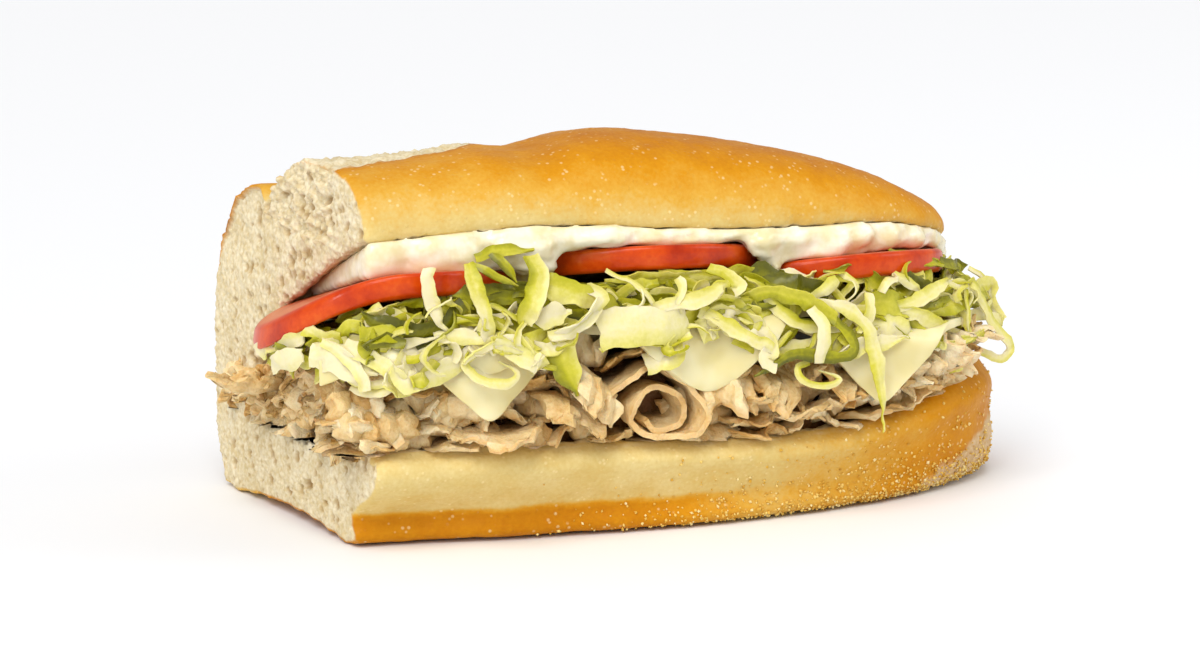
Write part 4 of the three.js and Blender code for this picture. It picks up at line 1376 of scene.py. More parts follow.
@dataclass
class ShavedMeat:
    """The heap of shaved meat: crumpled, folded and rolled slices over a core painted dark as shade."""

    seed: int = 23
    rows: int = 7
    end_count: int = 80
    end_base_count: int = 12
    # How often the front slices are folded in each way of Fold, in its order
    fold_shares: tuple[float, ...] = (0.48, 0.20, 0.32)
    # The front slices leave room for the rolled one between these two
    rolled_from_x: float = -21.0
    rolled_to_x: float = 4.0
    finish: Finish = ShavedPoultry()
    hand_laid: tuple[Cut, ...] = (
        Cut((8, -37, 37), (0.1, -1, -0.1), (0, 0.1, 1), 19, 12, -1.3, 0.65),
        Cut((18, -36, 36), (0.35, -1, -0.1), (0.4, 0.1, 1), 17, 11, -1.15, 0.5),
        Cut((14, -38, 29), (-0.2, -1, 0.1), (0, 0, 1), 13, 17, 0.4, 0.45),
        Cut((37, -36, 34), (0.2, -1, 0), (0.5, 0, 1), 15, 13, -0.9, 0.5),
        Cut((29, -38, 26), (0.1, -1, 0.1), (0, 0, 1), 12, 18, 0.1, 0.6),
        Cut((-24, -37, 38), (0.2, -1, -0.05), (0.5, 0, 0.8), 18, 15, -1.2, 0.6),
        Cut((-29, -38, 33), (0.1, -1, 0), (0.3, 0, 1), 15, 16, -0.9, 0.5),
        Cut((-45, -38, 27), (-0.35, -1, 0), (0, 0.1, 1), 15, 20, -0.25, 0.7),
        Cut((-50, -38, 31), (-0.2, -1, 0), (0, 0.1, 1), 14, 15, 2.8, 0.8),
        Cut((-72, -36, 27), (-0.2, -1, 0), (0, 0, 1), 14.5, 17, 2.9, 0.45),
        Cut((52, -32, 33), (0.35, -1, 0), (0.85, 0.2, 0.5), 14, 13, 0.2, 0.9),
        Cut((57, -31, 33), (0.4, -1, 0), (0.85, 0.2, 0.5), 14, 13, 0.3, 0.8),
        Cut((62, -30, 34), (0.5, -1, 0), (0.85, 0.3, 0.5), 13, 13, 0.2, 0.95),
        Cut((61, -34, 36), (0.5, -1, 0.1), (0.85, 0.3, 0.5), 13, 12, 0.3, 1.0),
        Cut((66, -31, 34.5), (0.6, -1, 0.05), (0.85, 0.3, 0.5), 13, 12, 0.2, 0.95),
        Cut((66, -26, 40), (0.8, -0.8, 0), (0, 0.1, 1), 16, 14, -0.2, 0.9),
        Cut((69, -24, 36.5), (0.9, -0.7, 0.05), (0, 0.1, 1), 15, 13, 0.15, 0.8),
    )

    def core(self, pile: Pile) -> None:
        """Adds the heap's hidden middle, which closes the gaps between the slices and is painted dark brown
        as shade.
        """
        u = np.linspace(0, 1, 60)[:, None]
        v = np.linspace(0, 1, 20)[None, :]
        mid = lerp(-78.0, 72.0, u)
        front = LAYERS.filling_front(mid) + 2.5
        back = LAYERS.filling_back(mid)
        y = lerp(front, back, v)
        x = lerp(LOAF.cut_x_at(y) + 6, 72.0, u)
        top = LAYERS.meat_top_z(x, y) - 2.0
        low = LOAF.bed_z(x) + 0.2
        middle = np.stack([x, y, (top + low) / 2], axis=-1)
        lumps = 1.3 * rough(middle.reshape(-1, 3), 5.0, 2).reshape(x.shape)
        # tone and deep paint the core dark brown: painted shade that shows through the gaps
        pile.sheet(middle, top - low + lumps, tone=0.1, deep=0.8, roasted=0.0)

    def lay(self, pile: Pile, random: Random, cut: Cut) -> None:
        """Adds one thin slice with a ragged, crumpled free edge, painted darker as shade towards its root.

        Args:
            pile: the heap's mesh so far.
            random: draws its unevenness.
            cut: its place, size and look.
        """
        out, up = unit(np.array(cut.out, float)), np.array(cut.up, float)
        along = unit(np.cross(up, out))
        up = np.cross(out, along)
        u = 1 - (1 - np.linspace(0, 1, cut.grid[0])) ** 1.4
        s = np.linspace(-0.5, 0.5, cut.grid[1])
        angle = cut.turn * smoothstep(u, 0.3, 1.0)
        step = np.diff(u, prepend=0) * cut.reach
        forward, rise = np.cumsum(np.cos(angle) * step), np.cumsum(np.sin(angle) * step)
        teeth = 1 + np.interp(s, np.linspace(-0.5, 0.5, 10), random.uniform(-0.26, 0.26, 10))
        teeth += random.uniform(-0.06, 0.06, len(s)) - 0.45 * np.abs(2 * s) ** 5
        sides = 1 + np.interp(u, np.linspace(0, 1, 7), random.uniform(-0.14, 0.14, 7))
        wave = cut.crush * random.uniform(0.4, 1.3) * np.sin(s * random.uniform(4, 10) + random.uniform(0, 6))
        free = (0.25 + 0.75 * u)[:, None, None]
        middle = (
            np.array(cut.start, float)
            + (forward[:, None] * teeth)[..., None] * out
            + (rise[:, None] * teeth + wave * free[..., 0])[..., None] * up
            + (sides[:, None] * s * cut.width)[..., None] * along
        )
        flat = middle.reshape(-1, 3)
        shove = 1.5 * drift(flat, 6.5, 2.0) + 1.4 * drift(flat, 2.8, 8.0) + 0.6 * drift(flat, 1.3, 5.0)
        middle = middle + cut.crush * free * shove.reshape(middle.shape)
        edge = np.maximum(smoothstep(u, 0.9, 1.0)[:, None], smoothstep(np.abs(s), 0.42, 0.5)[None, :])
        roasted = edge * (0.85 if random.random() < 0.45 else 0.15)
        tone = cut.tone + 0.12 * np.sin(s * 9 + cut.tone * 40)[None, :]
        # painted shade: deep darkens each slice towards its root inside the heap
        deep = 0.6 * (1 - smoothstep(u, 0.12, 0.55))[:, None]
        pile.sheet(middle, cut.thick * (1 - 0.45 * edge), tone=tone, deep=deep, roasted=roasted)

    def rolled(self, pile: Pile) -> None:
        """Adds the slice rolled up on itself that faces the front, with its flap."""
        # Its edge as (x, z), from the flap's tip over the top and round inside
        edge = [
            (-21.5, 33.6), (-17.5, 36.6), (-13.5, 39.0), (-9.0, 40.2), (-4.2, 37.6), (0.2, 33.6),
            (2.2, 29.4), (0.9, 25.2), (-3.6, 23.2), (-9.4, 23.6), (-14.2, 26.6), (-15.4, 30.4),
            (-12.9, 33.6), (-8.2, 34.8), (-3.6, 32.6), (-1.6, 29.2), (-3.4, 26.0), (-8.0, 25.2),
            (-11.4, 27.8),
        ]  # fmt: skip
        front_y, depth, centre = -48.4, 19.0, np.array([-7.5, 0.0, 30.5])
        line = smooth_line([(x, 0.0, z) for x, z in edge], 120)
        v = np.linspace(0, 1, 20)
        share = np.linspace(0, 1, len(line))
        front = front_y - 0.9 * np.sin(share * 21) + 0.5 * np.sin(share * 47)
        front = front + 2.6 * smoothstep(share, 0.5, 1.0)
        middle = np.repeat(line[:, None], len(v), axis=1)
        middle[..., 1] = front[:, None] + depth * v[None, :]
        pull = (centre - middle) * np.array([1, 0, 1])
        middle += pull * (0.22 * v**1.5)[None, :, None]
        flat = middle.reshape(-1, 3)
        middle = middle + (0.9 * drift(flat, 6.0, 4.0) + 0.4 * drift(flat, 2.2, 1.0)).reshape(middle.shape)
        rim = 1 - smoothstep(v, 0, 0.07)
        # deep paints shade inside the roll, darker towards its back; roasted tans its front rim
        pile.sheet(
            middle, 1.3, tone=0.62 + 0.1 * np.sin(share * 30)[:, None],
            deep=(0.8 * smoothstep(v, 0.1, 0.75))[None, :], roasted=0.55 * rim[None, :],
        )

    def front_slices(self, pile: Pile, random: Random) -> None:
        """Adds rows of slices along the open front and round the heel."""
        for row in range(self.rows):
            x = -76.0 + random.uniform(0, 8)
            while x < 71:
                low, top = float(LOAF.lip_z(x)) + 0.9, float(LAYERS.meat_top_z(x, LAYERS.front_y)) - 1.6
                z = lerp(low, top, row / (self.rows - 1)) + random.uniform(-0.8, 0.8)
                yaw = random.uniform(-0.5, 0.5) + 0.75 * smoothstep(x, 35, 75)
                out = (math.sin(yaw), -math.cos(yaw), random.uniform(-0.25, 0.15))
                lean = random.normal(0, 0.3)
                fold = random.choice(list(Fold), p=self.fold_shares)
                turn = fold.value + random.normal(0, 0.25)
                if not (self.rolled_from_x < x < self.rolled_to_x and 0 < row < self.rows - 1):
                    start = (x, float(LAYERS.filling_front(x)) + 3.5, z)
                    cut = Cut(
                        start, out, (lean, 0, 1), random.uniform(10, 13.5) + max(0, turn - 1.5),
                        random.uniform(12, 21), turn, random.uniform(0.3, 0.95), random.uniform(0.9, 1.3),
                    )  # fmt: skip
                    self.lay(pile, random, cut)
                x += random.uniform(9.5, 13.5)

    def end_slices(self, pile: Pile, random: Random) -> None:
        """Adds the chopped ends that show at the knife's cut."""
        angle = math.radians(LOAF.cut_slant_deg)
        outward = np.array([-math.cos(angle), -math.sin(angle), 0.0])
        for k in range(self.end_count):
            y = random.uniform(-40, 33)
            low = float(LOAF.lip_z(LOAF.cut_x)) - 1.5 - 7.5 * math.exp(-((y / 18) ** 2))
            z = random.uniform(low, 41 - 0.1 * (y + 44) - 0.25 * max(0.0, y - 10))
            if k < self.end_base_count:
                y = lerp(-34.0, 26.0, k / self.end_base_count)
                z = float(LOAF.bed_z(LOAF.cut_x)) + 1.0
            lean = random.normal(0, 0.5)
            start = (float(LOAF.cut_x_at(y)) + 4.5, y, z)
            turn = list(Fold)[k % len(Fold)].value + random.normal(0, 0.3)
            cut = Cut(
                start, outward + random.normal(0, 0.3, 3), (0, lean, 1), random.uniform(5, 8.5),
                random.uniform(6, 13), turn, random.uniform(0.3, 0.95), random.uniform(1.1, 1.8), 1.1,
            )  # fmt: skip
            self.lay(pile, random, cut)
        self.lay(pile, random, Cut((-79, 9, 30), (-1, -0.15, 0.05), (0, 0.3, 1), 17, 13, 0.4, 0.5, 1.8))

    def heel_slices(self, pile: Pile, random: Random) -> None:
        """Adds the slices that stand out round the heel, where the slit runs through to the back."""
        for row in range(4):
            for turn in np.linspace(-1.2, 1.35, 9) + random.uniform(-0.12, 0.12, 9):
                x, y = 56 + 15 * math.cos(turn), -3 + 27 * math.sin(turn)
                low, top = float(LOAF.lip_z(x)) + 0.8, float(LAYERS.meat_top_z(x, y)) - 1.0
                start = (x, y, lerp(low, top, row / 3) + random.uniform(-0.7, 0.7))
                out = (math.cos(turn), 0.7 * math.sin(turn), random.uniform(-0.2, 0.15))
                cut = Cut(
                    start, out, (0, random.normal(0, 0.3), 1), random.uniform(7, 11), random.uniform(10, 16),
                    random.uniform(-0.6, 0.8), random.uniform(0.4, 0.95), grid=(9, 11),
                )  # fmt: skip
                self.lay(pile, random, cut)

    def build(self) -> Object:
        """Piles up the slices and roughens them."""
        random = np.random.default_rng(self.seed)
        pile = Pile()
        self.core(pile)
        self.rolled(pile)
        for cut in self.hand_laid:
            self.lay(pile, random, cut)
        self.front_slices(pile, random)
        self.end_slices(pile, random)
        self.heel_slices(pile, random)
        heap = pile.build("meat_slices")
        points, normals = points_of(heap), normals_of(heap)
        points += normals * (0.22 * rough(points, 1.3, 2, 6.0))[:, None]
        x, y, z = points.T
        front = LOAF.lip_out_y(x) * LOAF.taper(x, LOAF.heel_tip_x, 2.5)
        floor = np.where(y < front + 7, LOAF.lip_z(x) + 0.2, LOAF.bed_z(x) + 0.2)
        points[:, 2] = np.maximum(z, floor)
        move_points(heap, points)
        return heap


@dataclass(frozen=True)
class Shred:
    """A shred: its width, its colour at both ends and where it runs.

    A tone is 0 for white rib to 1 for deep green. edge is how much greener one side is than the other.
    """

    width: float
    tone: tuple[float, float]
    line: tuple[Triple | Array, ...]
    twist: float = 0.3
    edge: float = 0.15


# fmt: off
# By the knife cut, round the first tomato slice's rim
END_SHREDS = (
    Shred(5.0, (0.86, 0.76), (
        (-77, -40, 52), (-74, -42, 53.5), (-70, -44, 53.5), (-65, -45, 53), (-62, -45, 52),
    ), 0.1),
    Shred(2.4, (0.35, 0.2), ((-76, -41, 52.5), (-74, -42.5, 55.5), (-72, -43, 57))),
    Shred(3.2, (0.6, 0.5), ((-80, -38, 49.5), (-79, -40, 52), (-76, -42, 52.5))),
    Shred(3.8, (0.3, 0.45), ((-86, -32, 51), (-83, -35, 49.5), (-80, -39, 49.5))),
    Shred(3.2, (0.12, 0.3), ((-89, -24, 50), (-87, -27, 49.5), (-85, -31, 51))),
    Shred(3.2, (0.03, 0.12), ((-89, -24, 45.5), (-88, -28, 47.5), (-86, -31, 49))),
    Shred(4.2, (0.04, 0.12), ((-91, -12, 42), (-90.5, -16, 44.5), (-89, -22, 45))),
    Shred(2.2, (0.0, 0.06), ((-88, -26, 52.5), (-86, -30, 52.7), (-84, -33, 53.5))),
    Shred(2.3, (0.05, 0.02), (
        (-79, -43, 44), (-74, -46, 47), (-68, -48.5, 49.5), (-61, -49.5, 50.5),
    ), 0.2, 0.05),
    Shred(2.0, (0.1, 0.04), (
        (-77, -43.5, 43), (-72, -46.5, 44.5), (-66, -48, 47), (-61, -48.5, 48.5),
    ), 0.2, 0.05),
    Shred(5.0, (0.25, 0.4), ((-83, -37, 47.5), (-76, -42, 48.5), (-71, -45, 50), (-64, -46, 50)), 0.15),
    Shred(1.6, (0.15, 0.1), (
        (-80, -42, 44), (-79, -43, 41), (-76, -45, 40), (-72, -47.5, 41), (-69.5, -48.5, 42.5),
    )),
    Shred(1.9, (0.12, 0.1), ((-79, -42, 39.5), (-76, -44, 38), (-72, -47, 39), (-68, -48.5, 42))),
    Shred(1.5, (0.08, 0.1), ((-81, -41, 44.5), (-77, -44.5, 43), (-74, -46.5, 44))),
    Shred(5.0, (0.0, 0.04), (
        (-86, -35, 45.5), (-83, -40, 45), (-79, -44.5, 43.5), (-75, -48, 43),
    ), 0.2, 0.05),
    Shred(4.2, (0.1, 0.25), (
        (-80, -42, 48.5), (-77, -46.5, 47), (-73, -50, 44.5), (-70, -51, 41.5),
    ), 0.25, 0.1),
    Shred(3.0, (0.15, 0.05), (
        (-84, -38, 49), (-80, -44, 46), (-78, -47, 42.5), (-77, -47.5, 39.5),
    ), 0.3, 0.1),
    Shred(4.5, (0.0, 0.06), ((-91, -22, 41), (-89.5, -28, 43.5), (-87, -33, 45)), 0.2, 0.05),
    Shred(5.0, (0.02, 0.1), (
        (-75, -45, 45), (-69, -48, 44.5), (-63, -49.5, 45.5), (-57, -50, 46.5),
    ), 0.3, 0.1),
)
# Along the front, from the cut to the heel
FRONT_SHREDS = (
    Shred(3.6, (0.55, 0.4), (
        (-19, -42, 58.0), (-11, -43.5, 59.2), (-1, -43.8, 59.0), (9, -43, 58.2),
    ), 0.3, 0.15),
    Shred(3.0, (0.3, 0.5), (
        (-7, -42.8, 59.8), (3, -43.8, 58.6), (12, -43.2, 59.2), (21, -42, 58.2),
    ), 0.4, 0.1),
    Shred(3.8, (0.02, 0.06), (
        (-63, -49, 66), (-63.5, -50, 63), (-63, -50, 59.5), (-61.5, -50, 55.5), (-59, -49.5, 51.5),
    ), 0.15),
    Shred(3.2, (0.2, 0.1), ((-62, -49, 50), (-57, -50.5, 50.5), (-50.5, -51, 49.5), (-44, -51, 48.5))),
    Shred(2.0, (0.3, 0.15), (
        (-55, -50, 47.5), (-56, -51, 45), (-54, -52, 42), (-50, -52.5, 40),
        (-45.5, -52.5, 40), (-44, -52, 42), (-47.5, -51, 44.5),
    )),
    Shred(1.7, (0.25, 0.1), (
        (-41, -50, 52.5), (-43, -51, 51), (-43.5, -51.5, 48),
        (-42, -51.5, 45.5), (-40.5, -51, 47), (-41.5, -50, 49),
    )),
    Shred(4.4, (0.45, 0.3), (
        (-39, -48, 67), (-38, -50, 62), (-39.5, -51.5, 58), (-41, -51.5, 55), (-41, -50, 52),
    ), 0.5, 0.25),
    Shred(1.8, (0.75, 0.5), ((-51, -43, 65), (-46.5, -45, 62.5), (-41, -46, 60))),
    Shred(2.0, (0.8, 0.6), ((-46, -42, 67), (-43.5, -44, 64), (-41, -45, 60.5))),
    Shred(2.4, (0.6, 0.5), ((-50, -42, 66), (-44, -42, 67.5), (-36, -42, 67))),
    Shred(6.0, (0.5, 0.3), ((-38, -48, 61), (-33, -50, 59.5), (-28, -50.5, 57.5), (-23, -50, 55)), 0.2),
    Shred(5.0, (0.05, 0.12), ((-38, -50, 52), (-35, -51, 54), (-30.5, -51, 54.5)), 0.2),
    Shred(3.2, (0.12, 0.2), ((-36, -51, 49), (-30.5, -52, 50.5), (-26.5, -52, 53), (-24, -51.5, 55))),
    Shred(7.5, (0.45, 0.62), (
        (-35, -49.5, 49), (-33, -51, 44.5), (-31.5, -51.8, 40), (-30, -52, 36),
    ), 0.1, 0.25),
    Shred(3.2, (0.1, 0.2), ((-39, -50, 46.5), (-35.5, -51, 46.5), (-32, -51, 48))),
    Shred(1.3, (0.3, 0.2), ((-21.5, -48, 62.5), (-17, -49, 60.5), (-13, -50, 57.5), (-11, -50, 54.5))),
    Shred(3.2, (0.15, 0.1), (
        (-27, -50, 59), (-23.5, -51.5, 57.5), (-26, -52, 54), (-30, -52, 51), (-34, -51, 49),
    ), 0.6),
    Shred(8.8, (0.14, 0.2), (
        (-24, -50, 49), (-18, -51.8, 50.5), (-13, -52.3, 50), (-8, -52, 49.5), (-3, -50.5, 50),
    ), 0.08),
    Shred(3.2, (0.1, 0.3), ((-15, -50, 53), (-7, -51, 54.5), (0, -52, 55.5), (4.5, -52, 58), (5.5, -51, 57))),
    Shred(2.8, (0.5, 0.15), ((3.5, -47, 61.5), (8, -49, 59.5), (10, -50, 57), (8.5, -50, 56))),
    Shred(2.2, (0.2, 0.3), ((-5, -49, 60), (-4, -50.5, 57.5), (-6, -51, 54.5), (-5, -51, 52)), 0.8),
    Shred(3.4, (0.3, 0.2), ((0.5, -50, 52.5), (5.5, -51.5, 49.5), (11, -52, 46), (17, -52, 43)), 0.2),
    Shred(3.4, (0.5, 0.62), (
        (12, -46, 53), (17, -48, 55), (23, -49.5, 54), (28, -50.5, 51.5), (33, -51.5, 48),
    ), 0.3),
    Shred(2.6, (0.7, 0.95), (
        (33, -51, 48), (37, -51.8, 43.5), (36.5, -52, 40.5), (31, -52, 40),
        (22, -52, 41), (16.5, -51.5, 38), (13, -51, 37),
    ), 0.2),
    Shred(2.6, (0.1, 0.05), ((27, -51, 51), (29.5, -53, 47), (29, -53, 43), (28.5, -52.5, 39)), 0.2),
    Shred(2.7, (0.15, 0.3), ((28, -48, 53), (31, -49, 55), (34.5, -48, 57))),
    Shred(1.5, (0.4, 0.2), (
        (27, -50, 38.5), (24, -51, 38), (24.5, -52, 35.5), (28, -52.5, 33.5),
        (32, -52.5, 33.5), (34, -52, 34.5), (32, -51, 36), (29, -50.5, 37),
    )),
    Shred(4.0, (0.0, 0.08), ((15.5, -50, 47), (17, -51.5, 43.5), (15.5, -52, 40.5), (18, -52, 39)), 0.5),
    Shred(3.6, (0.15, 0.1), ((33.5, -50, 39), (38.5, -51.5, 41.5), (45, -51, 42.5), (52, -49, 42.5))),
    Shred(2.6, (0.15, 0.3), ((42, -49, 53.5), (41.5, -51, 49), (38.5, -51.5, 45))),
    Shred(3.0, (0.3, 0.2), ((45, -46, 49), (55, -46, 50), (62.5, -43, 52.5), (67.5, -40, 53.5)), 0.25),
    Shred(2.4, (0.25, 0.1), ((51, -43, 56.5), (55, -44, 54), (59, -43.5, 51))),
    Shred(3.6, (0.2, 0.35), ((50, -46, 48), (56, -46.5, 47), (61, -45, 44.5), (65, -42, 42.5))),
    Shred(3.8, (0.5, 0.35), ((66, -37, 41), (68, -39, 36), (69.5, -39, 31.5))),
    Shred(1.1, (0.4, 0.3), ((72, -38, 50.5), (72.5, -38.5, 45), (73, -38.5, 38.5))),
    Shred(1.3, (0.2, 0.1), ((66, -41, 53), (71, -38, 50.5), (73, -37, 50), (73.5, -36, 51.5))),
)
# The three that stand out one by one: upright by the cut, hanging past the meat, and looped at the heel
LONE_SHREDS = (
    Shred(3.4, (0.5, 0.02), (
        (-53, -47, 66), (-52.5, -50, 61), (-51, -50.8, 56), (-50, -51, 51), (-48.5, -51, 46),
    ), 0.15),
    Shred(3.2, (0.12, 0.38), (
        (28, -48, 52), (34.5, -51, 51), (39, -52, 48), (41.5, -52.7, 43),
        (43, -53, 36), (44, -53, 28.5), (44.5, -52.7, 21.5),
    ), 0.15),
    Shred(2.2, (0.3, 0.18), (
        (60, -29, 50), (72, -33.5, 50.5), (78, -33.5, 47.5), (82, -32, 41),
        (88, -30, 34.5), (86, -29.5, 31.5), (80, -30, 33.5),
    ), 0.3),
)
# fmt: on


@dataclass
class ShreddedLettuce:
    """The heap of shredded lettuce: strips, curls and loops over a core of packed leaf."""

    seed: int = 41
    strip_count: int = 130
    end_strip_count: int = 44
    heel_strip_count: int = 60
    curl_count: int = 16
    leaf_mm: float = 0.38
    finish: Finish = CrispLettuce()

    def front(self, x: Any) -> Any:
        """Front of the heap, seen from above."""
        return -45.0 * LOAF.taper(x, 88.0, 2.5)

    def on_face(self, x: float, h: float, off: float) -> Array:
        """A place on the heap's bulging front.

        Args:
            x: place along the loaf.
            h: 0 at the cheese and 1 at the tomato.
            off: how far it stands off the surface.

        Returns:
            The place in millimetres.
        """
        step = 0.5
        slope = (self.front(x + step) - self.front(x - step)) / (2 * step)
        outward = unit(np.array([slope, -1.0, 0.0]))
        low = float(LAYERS.meat_top_z(x, LAYERS.front_y)) + 0.8
        corners = [cheese.x for cheese in CHEESES if cheese.lay is Lay.CORNER]
        low += sum(6.0 * math.exp(-(((x - corner) / 9) ** 2)) for corner in corners)
        high = 57.5 - 4.0 * smoothstep(x, 55, 80) - 2.0 * smoothstep(-x, 60, 76)
        bulge = 2.0 * math.sin(math.pi * np.clip(h, 0, 1)) + 4.5 * max(0.0, 1 - h) ** 2 - 1.5 * h
        return np.array([x, self.front(x), lerp(low, high, h)]) + outward * (bulge + off)

    def core(self, pile: Pile) -> None:
        """Adds the heap's hidden middle."""
        u = np.linspace(0, 1, 60)[:, None]
        v = np.linspace(0, 1, 18)[None, :]
        x = lerp(-77.0, 76.0, u) + 0 * v
        front = (LOAF.lip_out_y(x) + 7) * LOAF.taper(x, 91.5, 2.5)
        back = LAYERS.filling_back(x)
        y = lerp(front, back, v)
        low = LAYERS.meat_top_z(x, y) + LAYERS.cheese_thick * 1.5 + LAYERS.cheese_step + LAYERS.gap
        high = LAYERS.lettuce_front_z - LAYERS.slope * (y - LAYERS.front_y)
        high = np.minimum(high, LAYERS.mayo_low_z(x, y) - 1)
        for slice_ in TOMATOES:
            under = np.hypot(x - slice_.x, y - slice_.y) < LAYERS.tomato_radius + 3
            high = np.where(under, np.minimum(high, slice_.low_z(x, y) - 0.5), high)
        high = np.maximum(high - 0.9, low + 1)
        middle = np.stack([x, y, (high + low) / 2], axis=-1)
        lumps = 1.2 * rough(middle.reshape(-1, 3), 3.0, 2).reshape(x.shape)
        pile.sheet(middle, high - low + lumps, tone=0.62)

    def strip(self, pile: Pile, shred: Shred, random: Random, facing: Triple | Array = STRAIGHT_OUT) -> None:
        """Adds one thin, slightly cupped and ruffled strip.

        Args:
            pile: the heap's mesh so far.
            shred: where it runs, its width and its colour.
            random: draws its unevenness.
            facing: the way it faces before it twists.
        """
        knots = np.array(shred.line, float)
        length = np.linalg.norm(np.diff(knots, axis=0), axis=1).sum()
        steps = int(np.clip(length * 1.1, 16, 44))
        line = smooth_line(knots, steps)
        u = np.linspace(0, 1, steps)
        taper = 0.8 + 0.2 * np.sin(np.pi * u) ** 0.6
        if random.random() < 0.4:
            taper = taper * (1 - 0.85 * smoothstep(u, 0.6, 1.0))
        uneven = 1 + 0.16 * np.interp(u, np.linspace(0, 1, 6), random.uniform(-1, 1, 6))
        roll = shred.twist * np.sin(u * random.uniform(2, 4.5) + random.uniform(0, 6))
        cup = random.choice([-1, 1]) * random.uniform(0.02, 0.12) * shred.width
        middle = ribbon(line, facing, shred.width * taper * uneven, roll, cup, 6)
        s = np.linspace(-1, 1, middle.shape[1])
        frilled = np.clip(random.choice([-1, 1]) * s, 0, 1) ** 1.5
        wave = np.sin(u * length / 1.3 + random.uniform(0, 6))[:, None]
        ruffle = min(0.12 * shred.width, 0.6) * wave * frilled
        middle[..., 1] -= ruffle
        middle[..., 2] += 0.6 * ruffle
        flat = middle.reshape(-1, 3)
        crinkle = 0.7 * drift(flat, 3.6, 6.0) + 0.4 * drift(flat, 1.7, 3.0)
        middle = middle + min(1.0, 0.25 + 0.2 * shred.width) * crinkle.reshape(middle.shape)
        tone = lerp(*shred.tone, u)[:, None] + random.choice([-1, 1]) * shred.edge * s[None, :]
        tone = tone - 0.08 * np.exp(-((s / 0.22) ** 2))[None, :]
        pile.sheet(middle, self.leaf_mm, tone=np.clip(tone, 0, 1))

    def tone_at(self, x: float, h: float, random: Random) -> float:
        """Draws a strip's colour: greener high up and by the cut, paler low down."""
        greener = 0.22 + 0.42 * h + 0.15 * smoothstep(-x, 10, 60) * h
        return float(np.clip(random.normal(greener, 0.2), 0.02, 0.95))

    def tangle(self, pile: Pile, random: Random) -> None:
        """Adds strips that wander over the front of the heap."""
        for _ in range(self.strip_count):
            x, h = random.uniform(-76, 82), random.beta(1.1, 1.0)
            angle = random.normal(0, 0.6) + (math.pi if random.random() < 0.5 else 0)
            bend = random.normal(0, 0.3)
            length = random.uniform(14, 40)
            off = random.uniform(-1.2, 2.4)
            count = 6
            knots = []
            for _ in range(count):
                knots.append(self.on_face(x, float(np.clip(h, -0.1, 1.05)), off + random.uniform(-0.9, 0.9)))
                x = float(np.clip(x + math.cos(angle) * length / count, -77, 83))
                h += math.sin(angle) * length / count / 15
                angle += bend + random.normal(0, 0.2)
            tone = self.tone_at(x, float(np.clip(h, 0, 1)), random)
            ends = (tone + random.uniform(-0.15, 0.1), tone + random.uniform(-0.1, 0.15))
            width = random.uniform(1.2, 3.2) if random.random() < 0.72 or x > 62 else random.uniform(3.5, 6.5)
            shred = Shred(width, ends, tuple(knots), random.uniform(0.2, 0.9), random.uniform(0.05, 0.25))
            self.strip(pile, shred, random)

    def round_the_end(self, pile: Pile, random: Random) -> None:
        """Packs short pieces under the rim of the tomato slice that overhangs the cut."""
        first = TOMATOES[0]
        for _ in range(self.end_strip_count):
            angle, share = random.uniform(-0.1, 1.5), random.uniform(0, 1)
            radius = random.uniform(21, 28)
            turn, rise = random.uniform(0.15, 0.5), random.normal(0, 0.25)
            knots = []
            for step in np.linspace(-0.5, 0.5, 4):
                a = angle + turn * step
                x, y = first.x - radius * math.sin(a), first.y - radius * math.cos(a)
                top = first.low_z(x, y) - 1.2
                low = float(LAYERS.meat_top_z(x, y)) - 0.5
                z = lerp(low, top, float(np.clip(share + rise * step, 0, 1)))
                knots.append((x, y, z))
            tone = self.tone_at(-70, share, random)
            out = np.array([-math.sin(angle), -math.cos(angle), 0.15])
            width, end_tone = random.uniform(2.0, 5.0), tone + random.uniform(-0.15, 0.15)
            shred = Shred(width, (tone, end_tone), tuple(knots), 0.6)
            self.strip(pile, shred, random, out)

    def round_the_heel(self, pile: Pile, random: Random) -> None:
        """Lays strips round the heel end of the heap, back to the hinge."""
        for _ in range(self.heel_strip_count):
            turn, share = random.uniform(-0.9, 1.5), random.beta(1.5, 1.0)
            sweep, rise = random.uniform(0.25, 0.7), random.normal(0, 0.3)
            reach = random.uniform(0.0, 3.0)
            knots = []
            for step in np.linspace(-0.5, 0.5, 4):
                a = turn + sweep * step
                x, y = 59 + (17 + reach) * math.cos(a), -3 + (29 + reach) * math.sin(a)
                low = float(LAYERS.meat_top_z(x, y)) + 0.5
                top = min(float(LAYERS.mayo_low_z(x, y)), 59 - LAYERS.slope * (y + 44)) - 0.5
                z = lerp(low, top, float(np.clip(share + rise * step, 0, 1)))
                knots.append((x + random.uniform(-0.8, 0.8), y, z))
            tone = self.tone_at(70, share, random)
            width, end_tone = random.uniform(2.0, 5.5), tone + random.uniform(-0.15, 0.15)
            shred = Shred(width, (tone, end_tone), tuple(knots), 0.6)
            self.strip(pile, shred, random, np.array([math.cos(turn), 0.7 * math.sin(turn), 0.15]))

